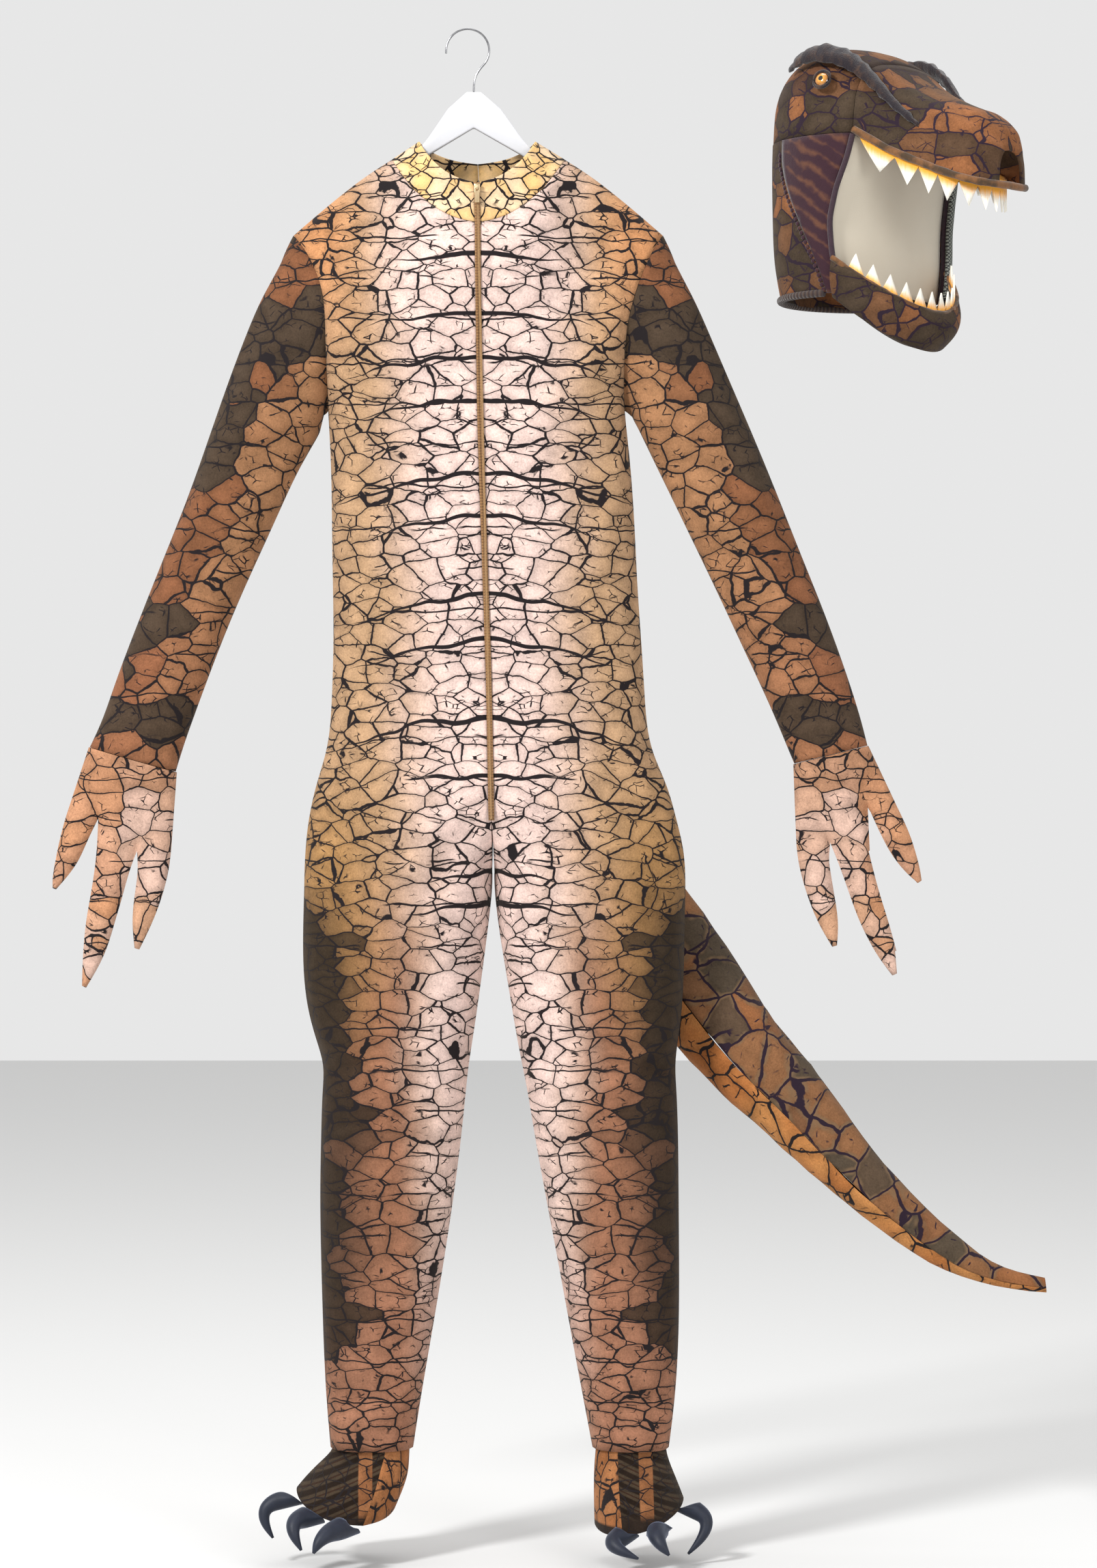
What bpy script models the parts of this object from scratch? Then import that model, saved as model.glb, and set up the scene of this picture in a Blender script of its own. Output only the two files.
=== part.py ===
"""A dinosaur jumpsuit of printed velour on a flat hanger, with gloves, foot covers, a stuffed tail
and a separate head mask. Metres in Blender, millimetres in the tables below. The origin is the inside
top of the hanger's hook, +X is to the viewer's right, the front faces -Y and "below" is measured down
from the origin."""

from collections import namedtuple
from math import cos, pi, radians, sin

import bmesh
import bpy
import numpy as np
from mathutils import Matrix, Vector

MM = 0.001
CLOTH = 2.0            # thickness of the velour and its backing
SEAM = 0.3             # gap between two pieces where they are sewn
HALF_SEAM = SEAM / 2

for old in list(bpy.data.objects):
    bpy.data.objects.remove(old, do_unlink=True)


def material(name, colour, roughness=0.9, metallic=0.0):
    made = bpy.data.materials.new(name)
    made.use_nodes = True
    shader = made.node_tree.nodes["Principled BSDF"]
    shader.inputs["Base Color"].default_value = (*colour, 1.0)
    shader.inputs["Roughness"].default_value = roughness
    shader.inputs["Metallic"].default_value = metallic
    return made


BELLY = material("belly velour", (0.74, 0.53, 0.42))
BACK = material("back velour", (0.42, 0.27, 0.14))
SLEEVE = material("sleeve velour", (0.52, 0.30, 0.15))
COLLAR = material("collar velour", (0.72, 0.53, 0.24))
GLOVE = material("glove velour", (0.75, 0.50, 0.38))
TAIL = material("tail velour", (0.20, 0.15, 0.09))
ORANGE = material("orange velour", (0.55, 0.27, 0.10))
STRIPED = material("striped foot cloth", (0.10, 0.06, 0.035))
CLAW = material("claw satin", (0.015, 0.018, 0.03), 0.6)
HEAD = material("head velour", (0.30, 0.19, 0.10))
CHEEK = material("cheek suede", (0.08, 0.045, 0.035))
MESH_CLOTH = material("face mesh", (0.50, 0.46, 0.36))
TOOTH = material("tooth felt", (0.85, 0.82, 0.72), 0.7)
EYE = material("eye", (0.35, 0.17, 0.04), 0.3)
ZIP = material("zip tape", (0.50, 0.34, 0.18), 0.8)
ZIP_METAL = material("zip metal", (0.55, 0.42, 0.28), 0.35, 1.0)
HANGER = material("hanger plastic", (0.85, 0.85, 0.86), 0.4)
WIRE = material("hook wire", (0.6, 0.6, 0.62), 0.25, 1.0)


def column(table, field):
    """One named column of a table, as an array."""
    return np.array([getattr(row, field) for row in table], float)


def along(table, key, field, value):
    """A column read between its rows, at a value of the key column."""
    return float(np.interp(value, column(table, key), column(table, field)))


def smooth(value):
    value = min(max(value, 0.0), 1.0)
    return value * value * (3 - 2 * value)


def add_object(name, mesh_maker, finish):
    """A bmesh in millimetres becomes one closed object in metres, its faces turned out."""
    bmesh.ops.recalc_face_normals(mesh_maker, faces=mesh_maker.faces)
    bmesh.ops.transform(mesh_maker, matrix=Matrix.Scale(MM, 4), verts=mesh_maker.verts)
    mesh = bpy.data.meshes.new(name)
    mesh_maker.to_mesh(mesh)
    mesh_maker.free()
    mesh.materials.append(finish)
    mesh.shade_smooth()
    mesh.set_sharp_from_angle(angle=radians(40))
    made = bpy.data.objects.new(name, mesh)
    bpy.context.scene.collection.objects.link(made)
    return made


def wall(name, outer, inner, finish, closed=False):
    """A wall between an outer and an inner grid of points, its rims closed all round."""
    rows, columns = len(outer), len(outer[0])
    bm = bmesh.new()
    skins = [[[bm.verts.new(point) for point in row] for row in skin] for skin in (outer, inner)]
    last = columns if closed else columns - 1
    for skin in skins:
        for r in range(rows - 1):
            for c in range(last):
                d = (c + 1) % columns
                bm.faces.new((skin[r][c], skin[r][d], skin[r + 1][d], skin[r + 1][c]))
    front, back = skins
    for r in (0, rows - 1):
        for c in range(last):
            d = (c + 1) % columns
            bm.faces.new((front[r][c], front[r][d], back[r][d], back[r][c]))
    if not closed:
        for c in (0, columns - 1):
            for r in range(rows - 1):
                bm.faces.new((front[r][c], front[r + 1][c], back[r + 1][c], back[r][c]))
    return add_object(name, bm, finish)


def inward(outer, thickness, ghosts, facing, closed=False):
    """The inner points of a grid, moved in along its normals. Each ghost says how the cloth goes on
    past that edge (top, bottom, first and last column): an axis to mirror in, or -1 or None to run on,
    one value for each point where it changes along the edge."""
    points = np.array(outer, float)
    edges = (points[:1], points[-1:], points[:, :1], points[:, -1:])
    nexts = (points[1:2], points[-2:-1], points[:, 1:2], points[:, -2:-1])
    beyond = []
    for edge, step, ghost in zip(edges, nexts, ghosts):
        axes = np.resize(-1 if ghost is None else ghost, edge.shape[:2])[..., None]
        turned = axes == np.arange(3)
        mirrored = np.where(turned, 2 * edge - step, step)
        beyond.append(np.where(axes < 0, 2 * edge - step, mirrored))
    if closed:
        beyond[2:] = points[:, -1:], points[:, :1]
    rows = np.concatenate((beyond[0], points, beyond[1]), axis=0)
    columns = np.concatenate((beyond[2], points, beyond[3]), axis=1)
    down = rows[2:] - rows[:-2]
    across = columns[:, 2:] - columns[:, :-2]
    normal = np.cross(down, across)
    normal /= np.maximum(np.linalg.norm(normal, axis=2, keepdims=True), 1e-9)
    return points - facing * normal * thickness


# The suit's outline: millimetres below the hook, the two side edges, and half its depth in front and behind.
Trunk = namedtuple("Trunk", "below left right front back")
TRUNK = (
    Trunk(234, -198, 222, 24, 22),
    Trunk(262, -177, 205, 34, 30),
    Trunk(301, -162, 190, 45, 40),
    Trunk(345, -160, 179, 52, 46),
    Trunk(388, -160, 177.5, 56, 48),
    Trunk(432, -159, 178, 58, 48),
    Trunk(502, -154.6, 186.5, 57, 47),
    Trunk(572, -154.6, 190.4, 55, 46),
    Trunk(642, -153.1, 193.5, 53, 46),
    Trunk(712, -152.3, 198.9, 52, 48),
    Trunk(782, -155.4, 202.8, 55, 54),
    Trunk(817, -157.7, 205.5, 59, 60),
    Trunk(852, -171.7, 226.1, 63, 66),
    Trunk(899, -181, 237, 67, 72),
    Trunk(945, -184, 246.3, 68, 74),
    Trunk(976, -186, 247.9, 67, 72),
)
Leg = namedtuple("Leg", "below left_out left_in right_in right_out front back")
LEGS = (
    Leg(976, -186, 28.2, 30.4, 247.9, 66, 70),
    Leg(1015, -187.3, 24.1, 34.2, 247.1, 65, 67),
    Leg(1062, -188, 17.9, 42, 246.3, 64, 64),
    Leg(1108, -184.1, 11.7, 49.7, 245, 62, 61),
    Leg(1155, -170.9, 4.7, 57.5, 238.5, 58, 57),
    Leg(1178, -162.4, 0.8, 62.2, 235.4, 55, 55),
    Leg(1202, -165.5, -1.6, 67.6, 237.8, 55, 55),
    Leg(1272, -167.1, -8.5, 78.5, 240.1, 54, 54),
    Leg(1342, -168.6, -17.9, 91.7, 240.1, 52, 53),
    Leg(1411, -166.3, -28.7, 104.9, 240.9, 50, 52),
    Leg(1481, -164.7, -40.4, 117.3, 240.9, 48, 50),
    Leg(1551, -161.6, -52.8, 130.5, 237, 46, 48),
    Leg(1612, -156, -62, 142, 229, 45, 47),
)
Middle = namedtuple("Middle", "below x")
MIDDLE = (Middle(140, 10.9), Middle(226, 12.2), Middle(445, 14.8), Middle(743, 24.9), Middle(976, 29.3))

NECK_HALF = 98.7
NECK_SIDE = 148
NECK_FRONT = 226.5
NECK_BACK = 172
NECK_DEPTH_FRONT = 58
NECK_DEPTH_BACK = 46
SHOULDER_BELOW = 234
SHOULDER_HALF = 210
UNDERARM_BELOW = 432
CROTCH_BELOW = 976
ARMHOLE_DEPTH = 34
YOKE_COLUMNS = (0, 0.12, 0.24, 0.36, NECK_HALF / SHOULDER_HALF, 0.6, 0.73, 0.87, 1)
YOKE_DROPS = (0, 0.035, 0.11, 0.22, 0.36, 0.52, 0.68, 0.84, 1)       # rows from the top edge to the underarm
YOKE_ROWS = len(YOKE_DROPS)
SHOULDER_ROLL = 8.5           # how far the cloth stands off the shoulder seam as it rolls over the hanger
ROLL_DROP = 0.05
TRUNK_ROWS = (480, 530, 585, 640, 700, 755, 800, 830, 862, 899, 925, 950, 976)
LEG_ROWS = (998, 1030, 1070, 1112, 1148, 1178, 1208, 1260, 1320, 1380, 1440, 1500, 1560, 1612)
CROTCH_CURVE_FROM = 885

# The largest soft folds: where each lies on the front, how it runs, and how far it sinks in.
Fold = namedtuple("Fold", "x below turn length width sink")
FOLDS = (
    Fold(95, 905, 38, 110, 16, 4.5),
    Fold(125, 960, 32, 120, 15, 4.0),
    Fold(75, 1000, 62, 100, 14, 3.5),
    Fold(-30, 930, -40, 90, 15, 3.0),
    Fold(-70, 1040, -58, 90, 15, 3.0),
    Fold(190, 1170, -12, 60, 12, 4.5),
    Fold(-130, 1172, 12, 55, 12, 4.0),
    Fold(-115, 1520, 20, 70, 13, 4.0),
    Fold(-95, 1570, -14, 70, 12, 3.5),
    Fold(190, 1500, -18, 70, 13, 4.0),
    Fold(165, 1560, 12, 60, 12, 3.5),
    Fold(-110, 620, 78, 150, 18, 3.0),
    Fold(150, 560, -78, 160, 18, 3.0),
)


def middle_at(below):
    return along(MIDDLE, "below", "x", below)


def fold_sink(x, below):
    """How far the folds draw the cloth in at a place."""
    total = 0.0
    for fold in FOLDS:
        run = Vector((cos(radians(fold.turn)), sin(radians(fold.turn))))
        away = Vector((x - fold.x, below - fold.below))
        lengthwise = away.dot(run) / (fold.length / 2)
        crosswise = (away.x * run.y - away.y * run.x) / (fold.width / 2)
        if abs(lengthwise) < 1:
            total += fold.sink * (1 - lengthwise ** 2) ** 2 * 2.7 ** (-crosswise ** 2)
    return total


def top_edge(reach, facing):
    """Height and depth of the neckline and shoulder seam, at a distance from the middle."""
    if reach >= NECK_HALF:
        run = (reach - NECK_HALF) / (SHOULDER_HALF - NECK_HALF)
        return NECK_SIDE + (SHOULDER_BELOW - NECK_SIDE) * run ** 1.15, HALF_SEAM
    bow = 1 - (reach / NECK_HALF) ** 2
    dip, depth = (NECK_FRONT, NECK_DEPTH_FRONT) if facing < 0 else (NECK_BACK, NECK_DEPTH_BACK)
    return NECK_SIDE + (dip - NECK_SIDE) * bow ** 0.9, HALF_SEAM + depth * bow ** 0.55


def trunk_point(part, below, side, facing):
    """A point of the trunk: its half width, its share of that half, how far it stands out, and the middle."""
    centre = middle_at(below)
    edge = along(TRUNK, "below", "left" if side < 0 else "right", below)
    half = abs(edge - centre) - HALF_SEAM
    depth = along(TRUNK, "below", "front" if facing < 0 else "back", below)
    reach = sin(part * pi / 2)
    bulge = (1 - reach ** 2.3) ** (1 / 2.3) * (depth - HALF_SEAM)
    return half, reach, bulge, centre


def panel(side, facing):
    """One quarter of the suit, cut from the shoulder seam to the hem of its leg."""
    grid = []
    for v in YOKE_DROPS:
        row = []
        for c, share in enumerate(YOKE_COLUMNS):
            high, shallow = top_edge(share * SHOULDER_HALF, facing)
            below = high + (UNDERARM_BELOW - high) * v
            evened = c / (len(YOKE_COLUMNS) - 1)
            reach = share * (1 - smooth(v)) + sin(evened * pi / 2) * smooth(v)
            half, _, _, centre = trunk_point(evened, max(below, SHOULDER_BELOW), side, facing)
            full = along(TRUNK, "below", "front" if facing < 0 else "back", below)
            swell = (1 - (1 - min(1, v * 1.35)) ** 2.2)
            arm = ARMHOLE_DEPTH * sin(pi * v) ** 0.8 * reach ** 3 if v > 0 else 0
            depth = shallow * (1 - smooth(v * 1.2)) + full * swell * (1 - reach ** 2.3) ** (1 / 2.3) + arm
            roll = SHOULDER_ROLL * (1 - (1 - min(1, v / ROLL_DROP)) ** 2) * (1 - smooth(v * 1.2))
            depth = max(depth + roll * min(1, share * SHOULDER_HALF / NECK_HALF), HALF_SEAM)
            row.append((centre + side * (HALF_SEAM + half * reach), facing * depth, -below))
        grid.append(row)
    steps = len(YOKE_COLUMNS)
    for below in TRUNK_ROWS + LEG_ROWS:
        split = smooth((below - CROTCH_CURVE_FROM) / (CROTCH_BELOW - CROTCH_CURVE_FROM))
        row = []
        for c in range(steps):
            share = c / (steps - 1)
            half, reach, bulge, centre = trunk_point(share, min(below, CROTCH_BELOW), side, facing)
            trunk = (centre + side * (HALF_SEAM + half * reach), HALF_SEAM + bulge)
            names = ("left_in", "left_out") if side < 0 else ("right_in", "right_out")
            level = max(below, CROTCH_BELOW)
            inner, outer = (along(LEGS, "below", name, level) for name in names)
            angle = share * pi
            across = (1 - cos(angle)) / 2
            deep = along(LEGS, "below", "front" if facing < 0 else "back", level)
            leg = (inner + (outer - inner) * across, HALF_SEAM + deep * sin(angle) ** 0.85)
            x = trunk[0] * (1 - split) + leg[0] * split
            y = trunk[1] * (1 - split) + leg[1] * split
            if facing < 0:
                y = max(y - fold_sink(x, below) * min(1, y / 30), HALF_SEAM)
            row.append((x, facing * y, -below))
        grid.append(row)
    return np.array(grid)


ROWS_ABOVE_CROTCH = YOKE_ROWS + len(TRUNK_ROWS) - 1
CENTRE_AXES = (0,) * ROWS_ABOVE_CROTCH + (1,) * (len(LEG_ROWS) + 1)
NECK_COLUMNS = YOKE_COLUMNS.index(NECK_HALF / SHOULDER_HALF) + 1
TOP_AXES = (-1,) * (NECK_COLUMNS - 1) + (1,) * (len(YOKE_COLUMNS) - NECK_COLUMNS + 1)
SIDE_AXES = (1,) + (-1,) * (YOKE_ROWS - 2) + (1,) * (len(TRUNK_ROWS) + len(LEG_ROWS) + 1)
PANELS = {}
for side, side_name in ((-1, "left"), (1, "right")):
    for facing, facing_name, finish in ((-1, "front", BELLY), (1, "back", BACK)):
        outer = panel(side, facing)
        inner = inward(outer, CLOTH, (TOP_AXES, None, CENTRE_AXES, SIDE_AXES), -side * facing)
        PANELS[side, facing] = outer, inner
        wall(f"{facing_name}_{side_name}", outer, inner, finish)


# The sleeves: each section's outer and inner edge, and half its depth, from under the shoulder to the cuff.
Section = namedtuple("Section", "out_x out_below in_x in_below depth")
SLEEVE_SECTIONS = {
    -1: (
        Section(-241.6, 315.9, -168.6, 463.5, 42),
        Section(-268.8, 385.8, -190.4, 499.2, 41),
        Section(-292.9, 455.7, -207.5, 535.7, 40),
        Section(-318.6, 530.3, -223.8, 572.3, 39),
        Section(-345.8, 597.1, -254.9, 639.1, 38),
        Section(-373, 665.5, -282, 704.3, 37),
        Section(-400.2, 735.4, -309.2, 778.2, 35),
        Section(-415.7, 783.6, -322.5, 815.5, 33),
        Section(-431.2, 815.5, -331, 844.2, 31),
    ),
    1: (
        Section(264.2, 315.9, 190.4, 449.5, 42),
        Section(293.7, 385.8, 207.5, 485.2, 41),
        Section(324, 455.7, 230, 531.1, 40),
        Section(352.8, 525.6, 251, 574.6, 39),
        Section(380, 595.6, 282.8, 639.9, 38),
        Section(408.7, 665.5, 310.8, 700.5, 37),
        Section(433.6, 735.4, 344.2, 771.2, 35),
        Section(448.3, 782, 361.3, 813.1, 33),
        Section(456.1, 813.9, 370.6, 834.9, 31),
    ),
}
CAP_STEPS = (0.35, 0.7)       # how far the armhole's own curve has turned into an ellipse


def section_ring(section, count):
    """An elliptical section of a tube, from its outer edge round the front to the inner edge and back."""
    out = np.array((section.out_x, 0, -section.out_below), float)
    centre = (out + np.array((section.in_x, 0, -section.in_below))) / 2
    ring = []
    for k in range(count):
        angle = 2 * pi * k / count
        ring.append(centre + (out - centre) * cos(angle) + np.array((0, -section.depth * sin(angle), 0)))
    return np.array(ring)


def armhole(side, skin):
    """The armhole's edge, down the front from the shoulder and up the back."""
    front, back = (PANELS[side, facing][skin][:YOKE_ROWS, -1] for facing in (-1, 1))
    loop = np.concatenate((front, back[-2:0:-1]))
    loop[0] = (front[0] + back[0]) / 2
    loop[YOKE_ROWS - 1] = (front[-1] + back[-1]) / 2
    return loop + np.array((side * SEAM, 0, 0))


for side, side_name in ((-1, "left"), (1, "right")):
    edge = armhole(side, 0)
    rings = [section_ring(section, len(edge)) for section in SLEEVE_SECTIONS[side]]
    caps = [edge] + [edge * (1 - share) + rings[0] * share for share in CAP_STEPS]
    outer = np.array(caps + rings)
    inner = inward(outer, CLOTH, (None,) * 4, -side, closed=True)
    inner[0] = armhole(side, 1)
    wall(f"sleeve_{side_name}", outer, inner, SLEEVE, closed=True)


# The stand collar: its foot follows the neckline, its top edge stands in towards the neck.
COLLAR_ROWS = 5
COLLAR_LIFT = 2 * SEAM        # up and towards the neck, for a seam's gap where the neckline is steep
COLLAR_TOP_HALF = 66
COLLAR_TOP_SIDE = 127
COLLAR_TOP_FRONT = 181
COLLAR_TOP_BACK = 147
COLLAR_TOP_DEPTH_FRONT = 53
COLLAR_TOP_DEPTH_BACK = 42
COLLARS = {}


def collar_foot(side, skin):
    front, back = (PANELS[side, facing][skin][0, :NECK_COLUMNS] for facing in (-1, 1))
    loop = np.concatenate((front, back[-2::-1]))
    loop[NECK_COLUMNS - 1] = (front[-1] + back[-1]) / 2
    towards_neck = side * (loop[:, :1] - middle_at(NECK_SIDE)) / NECK_HALF
    return loop + towards_neck * np.array((-side * COLLAR_LIFT, 0, 0)) + np.array((0, 0, COLLAR_LIFT))


def collar_top(side):
    count = 2 * NECK_COLUMNS - 1
    points = []
    for k in range(count):
        angle = pi * k / (count - 1)
        depth, low = (COLLAR_TOP_DEPTH_FRONT, COLLAR_TOP_FRONT) if k < NECK_COLUMNS else (
            COLLAR_TOP_DEPTH_BACK, COLLAR_TOP_BACK)
        below = COLLAR_TOP_SIDE + (low - COLLAR_TOP_SIDE) * abs(cos(angle)) ** 1.6
        x = middle_at(COLLAR_TOP_SIDE) + side * (HALF_SEAM + COLLAR_TOP_HALF * sin(angle))
        points.append((x, -depth * cos(angle), -below))
    return np.array(points)


for side, side_name in ((-1, "left"), (1, "right")):
    foot, top = collar_foot(side, 0), collar_top(side)
    outer = np.array([foot + (top - foot) * r / (COLLAR_ROWS - 1) for r in range(COLLAR_ROWS)])
    inner = inward(outer, CLOTH, (None, None, 0, 0), -side)
    inner[0] = collar_foot(side, 1)
    COLLARS[side] = outer
    wall(f"collar_{side_name}", outer, inner, COLLAR)


# The zip: two narrow rows of coil down the middle, a slider at the top and a tab that swings on it.
ZIP_END_BELOW = 899
TAPE_WIDTH = 3.1
TAPE_THICK = 1.3
SLIDER_BELOW = 188
SLIDER_SIZE = (6.5, 3.0, 10.0)
BAIL_RADIUS = 2.6
BAIL_HOLE = 1.2
BAIL_WIDTH = 2.0
TAB_WIDTH = 5.4
TAB_THICK = 1.2
TAB_LENGTH = 17.0
TAB_SLOT = (2.8, 3.2)        # its width, and its far end from the pivot

TAPES = {}
for side, side_name in ((-1, "left"), (1, "right")):
    fronts = PANELS[side, -1][0]
    rows = [(row[0], row[1]) for row in COLLARS[side][:0:-1]]
    rows += [(row[0], row[1]) for row in fronts if -row[0][2] <= ZIP_END_BELOW]
    inner = []
    for first, second in rows:
        reach = TAPE_WIDTH / max(abs(second[0] - first[0]), TAPE_WIDTH)
        inner.append((first, first + (second - first) * reach))
    inner = np.array(inner) + np.array((0, -SEAM, 0))
    outer = inner + np.array((0, -TAPE_THICK, 0))
    TAPES[side] = outer
    wall(f"zip_tape_{side_name}", outer, inner, ZIP)


def tape_face(below):
    """How far forward the zip's face stands at a height."""
    rows = TAPES[1][:, 0]
    return float(np.interp(below, -rows[:, 2], -rows[:, 1]))


def box(name, centre, size, finish, turned=0.0):
    bm = bmesh.new()
    bmesh.ops.create_cube(bm, size=1.0)
    bmesh.ops.scale(bm, vec=size, verts=bm.verts)
    bmesh.ops.rotate(bm, matrix=Matrix.Rotation(turned, 3, "X"), verts=bm.verts)
    bmesh.ops.translate(bm, vec=centre, verts=bm.verts)
    return add_object(name, bm, finish)


def rod(name, centre, radius, length, finish, sides=16):
    """A round rod along X."""
    bm = bmesh.new()
    bmesh.ops.create_cone(bm, cap_ends=True, segments=sides, radius1=radius, radius2=radius, depth=length)
    bmesh.ops.rotate(bm, matrix=Matrix.Rotation(pi / 2, 3, "Y"), verts=bm.verts)
    bmesh.ops.translate(bm, vec=centre, verts=bm.verts)
    return add_object(name, bm, finish)


def cut(target, cutter, operation):
    """A Boolean on the target; the cutter stays hidden as a guide."""
    modifier = target.modifiers.new(operation.lower(), "BOOLEAN")
    modifier.operation = operation
    modifier.object = cutter
    cutter.hide_render = True
    cutter.display_type = "WIRE"


slider_x = middle_at(SLIDER_BELOW)
slider_face = max(tape_face(SLIDER_BELOW - SLIDER_SIZE[2] / 2), tape_face(SLIDER_BELOW + SLIDER_SIZE[2] / 2))
slider_centre = Vector((slider_x, -slider_face - SEAM - SLIDER_SIZE[1] / 2, -SLIDER_BELOW))
pivot = slider_centre + Vector((0, -SLIDER_SIZE[1] / 2 - BAIL_RADIUS + SEAM, 0))
slider = box("zip_slider", slider_centre, SLIDER_SIZE, ZIP_METAL)
cut(slider, rod("bail_guide", pivot, BAIL_RADIUS, BAIL_WIDTH, ZIP_METAL), "UNION")
cut(slider, rod("bail_hole_guide", pivot, BAIL_HOLE, BAIL_WIDTH * 3, ZIP_METAL), "DIFFERENCE")

tab_top = TAB_THICK / 2
tab_size = (TAB_WIDTH, TAB_THICK, TAB_LENGTH)
tab = box("zip_tab", Vector((0, 0, tab_top - TAB_LENGTH / 2)), tab_size, ZIP_METAL)
tab.location = pivot * MM
slot_height = TAB_SLOT[1] - TAB_THICK / 2
slot_centre = pivot - Vector((0, 0, TAB_THICK / 2 + slot_height / 2))
cut(tab, box("slot_guide", slot_centre, (TAB_SLOT[0], TAB_THICK * 3, slot_height), ZIP_METAL), "DIFFERENCE")


# The gloves: a palm and a back, each cut with three pointed fingers. A station gives a finger's two edges
# and half its depth, from the knuckle to the tip, seen from the front.
Station = namedtuple("Station", "a_x a_below b_x b_below depth")
FINGERS = {
    -1: (
        (
            Station(-458.4, 898.6, -420.4, 893.9, 10),
            Station(-464.6, 921.9, -432.8, 921.9, 9),
            Station(-469.3, 945.2, -442.1, 945.2, 8),
            Station(-472.8, 964.7, -455.3, 963.1, 6),
            Station(-472.4, 976.3, -468.5, 977.9, 3),
        ),
        (
            Station(-420.4, 893.9, -376.8, 931.2, 11),
            Station(-421.9, 937.5, -384.6, 954.6, 10),
            Station(-428.1, 980.2, -392.4, 984.1, 9),
            Station(-435.1, 1015.2, -401.7, 1015.2, 8.5),
            Station(-438.2, 1054, -412.6, 1054, 7),
            Station(-439, 1087.4, -434.3, 1089.7, 3),
        ),
        (
            Station(-376.8, 931.2, -337.2, 929.7, 10),
            Station(-374.5, 956.9, -339.5, 954.6, 9.5),
            Station(-380, 988, -347.3, 985.6, 8.5),
            Station(-382.3, 1016.7, -359, 1016.7, 7),
            Station(-379.2, 1044.7, -373.7, 1046.2, 3),
        ),
    ),
    1: (
        (
            Station(373.7, 917.9, 411.8, 922.6, 10),
            Station(375.3, 945.2, 411, 945.2, 9.5),
            Station(384.6, 980.2, 416.5, 980.2, 8.5),
            Station(397.8, 1015.2, 422.7, 1013.6, 7),
            Station(414.9, 1043.1, 420.4, 1041.6, 3),
        ),
        (
            Station(411.8, 922.6, 453.8, 882.3, 11),
            Station(424.2, 953, 457.7, 933.6, 10),
            Station(436.7, 989.5, 467, 977.9, 9),
            Station(446, 1015.2, 479.4, 1015.2, 8.5),
            Station(463.9, 1050.9, 488, 1047.8, 7),
            Station(483.3, 1075.8, 488.7, 1073.4, 3),
        ),
        (
            Station(453.8, 882.3, 490.3, 887, 10),
            Station(470.1, 915.7, 502.7, 912.6, 9),
            Station(484.1, 942.1, 510.5, 937.4, 8),
            Station(502, 962.3, 515.2, 956.1, 6),
            Station(512, 970.8, 516.7, 967.7, 3),
        ),
    ),
}
FINGER_CELLS = 4
PALM_ROWS = 5
CUFF_GAP = 2 * SEAM
PALM_DEPTH = 15
GLOVE_WALL = 1.5


def across_station(a, b, depth, share, facing):
    """The outer and inner point of a hollow piece between its edges a and b."""
    centre, half = (a + b) / 2, (b - a) / 2
    lean = -cos(pi * share)
    deep = sin(pi * share) * (depth - HALF_SEAM)
    thin = min(GLOVE_WALL, depth * 0.45)
    outer = centre + half * lean + np.array((0, facing * (HALF_SEAM + deep), 0))
    inner = centre + half * lean * (1 - thin / np.linalg.norm(half))
    inner = inner + np.array((0, facing * (HALF_SEAM + deep * (1 - thin / depth)), 0))
    return np.array((outer, inner))


def glove_half(side, facing):
    """Rows of outer and inner points: those of the palm, then those of each finger."""
    ends = [(np.array((s.a_x, 0, -s.a_below)), np.array((s.b_x, 0, -s.b_below)), s.depth)
            for s in (finger[0] for finger in FINGERS[side])]
    cuff = SLEEVE_SECTIONS[side][-1]
    cuff_a = np.array((cuff.out_x, 0, -cuff.out_below - CUFF_GAP))
    cuff_b = np.array((cuff.in_x, 0, -cuff.in_below - CUFF_GAP))
    if side > 0:
        cuff_a, cuff_b = cuff_b, cuff_a
    count = len(ends) * FINGER_CELLS
    palm = []
    for r in range(PALM_ROWS):
        v = r / (PALM_ROWS - 1)
        a, b = cuff_a * (1 - v) + ends[0][0] * v, cuff_b * (1 - v) + ends[-1][1] * v
        depth = PALM_DEPTH + (cuff.depth - PALM_DEPTH) * (1 - v) ** 2
        row = []
        for c in range(count + 1):
            whole = across_station(a, b, depth, c / count, facing)
            which = min(c // FINGER_CELLS, len(ends) - 1)
            knuckle = across_station(*ends[which], c / FINGER_CELLS - which, facing)
            edge = ends[which]
            line = edge[0] + (edge[1] - edge[0]) * (1 - cos(pi * (c / FINGER_CELLS - which))) / 2
            sag = (line - (ends[0][0] + (ends[-1][1] - ends[0][0]) * (1 - cos(pi * c / count)) / 2)) * v ** 2
            blend = smooth((v - 0.45) / 0.55)
            row.append((whole + sag * (1 - blend)) * (1 - blend) + knuckle * blend)
        palm.append(row)
    fingers = []
    for finger in FINGERS[side]:
        rows = []
        for s in finger[1:]:
            a, b = np.array((s.a_x, 0, -s.a_below)), np.array((s.b_x, 0, -s.b_below))
            shares = [c / FINGER_CELLS for c in range(FINGER_CELLS + 1)]
            rows.append([across_station(a, b, s.depth, share, facing) for share in shares])
        fingers.append(rows)
    return palm, fingers


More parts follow.
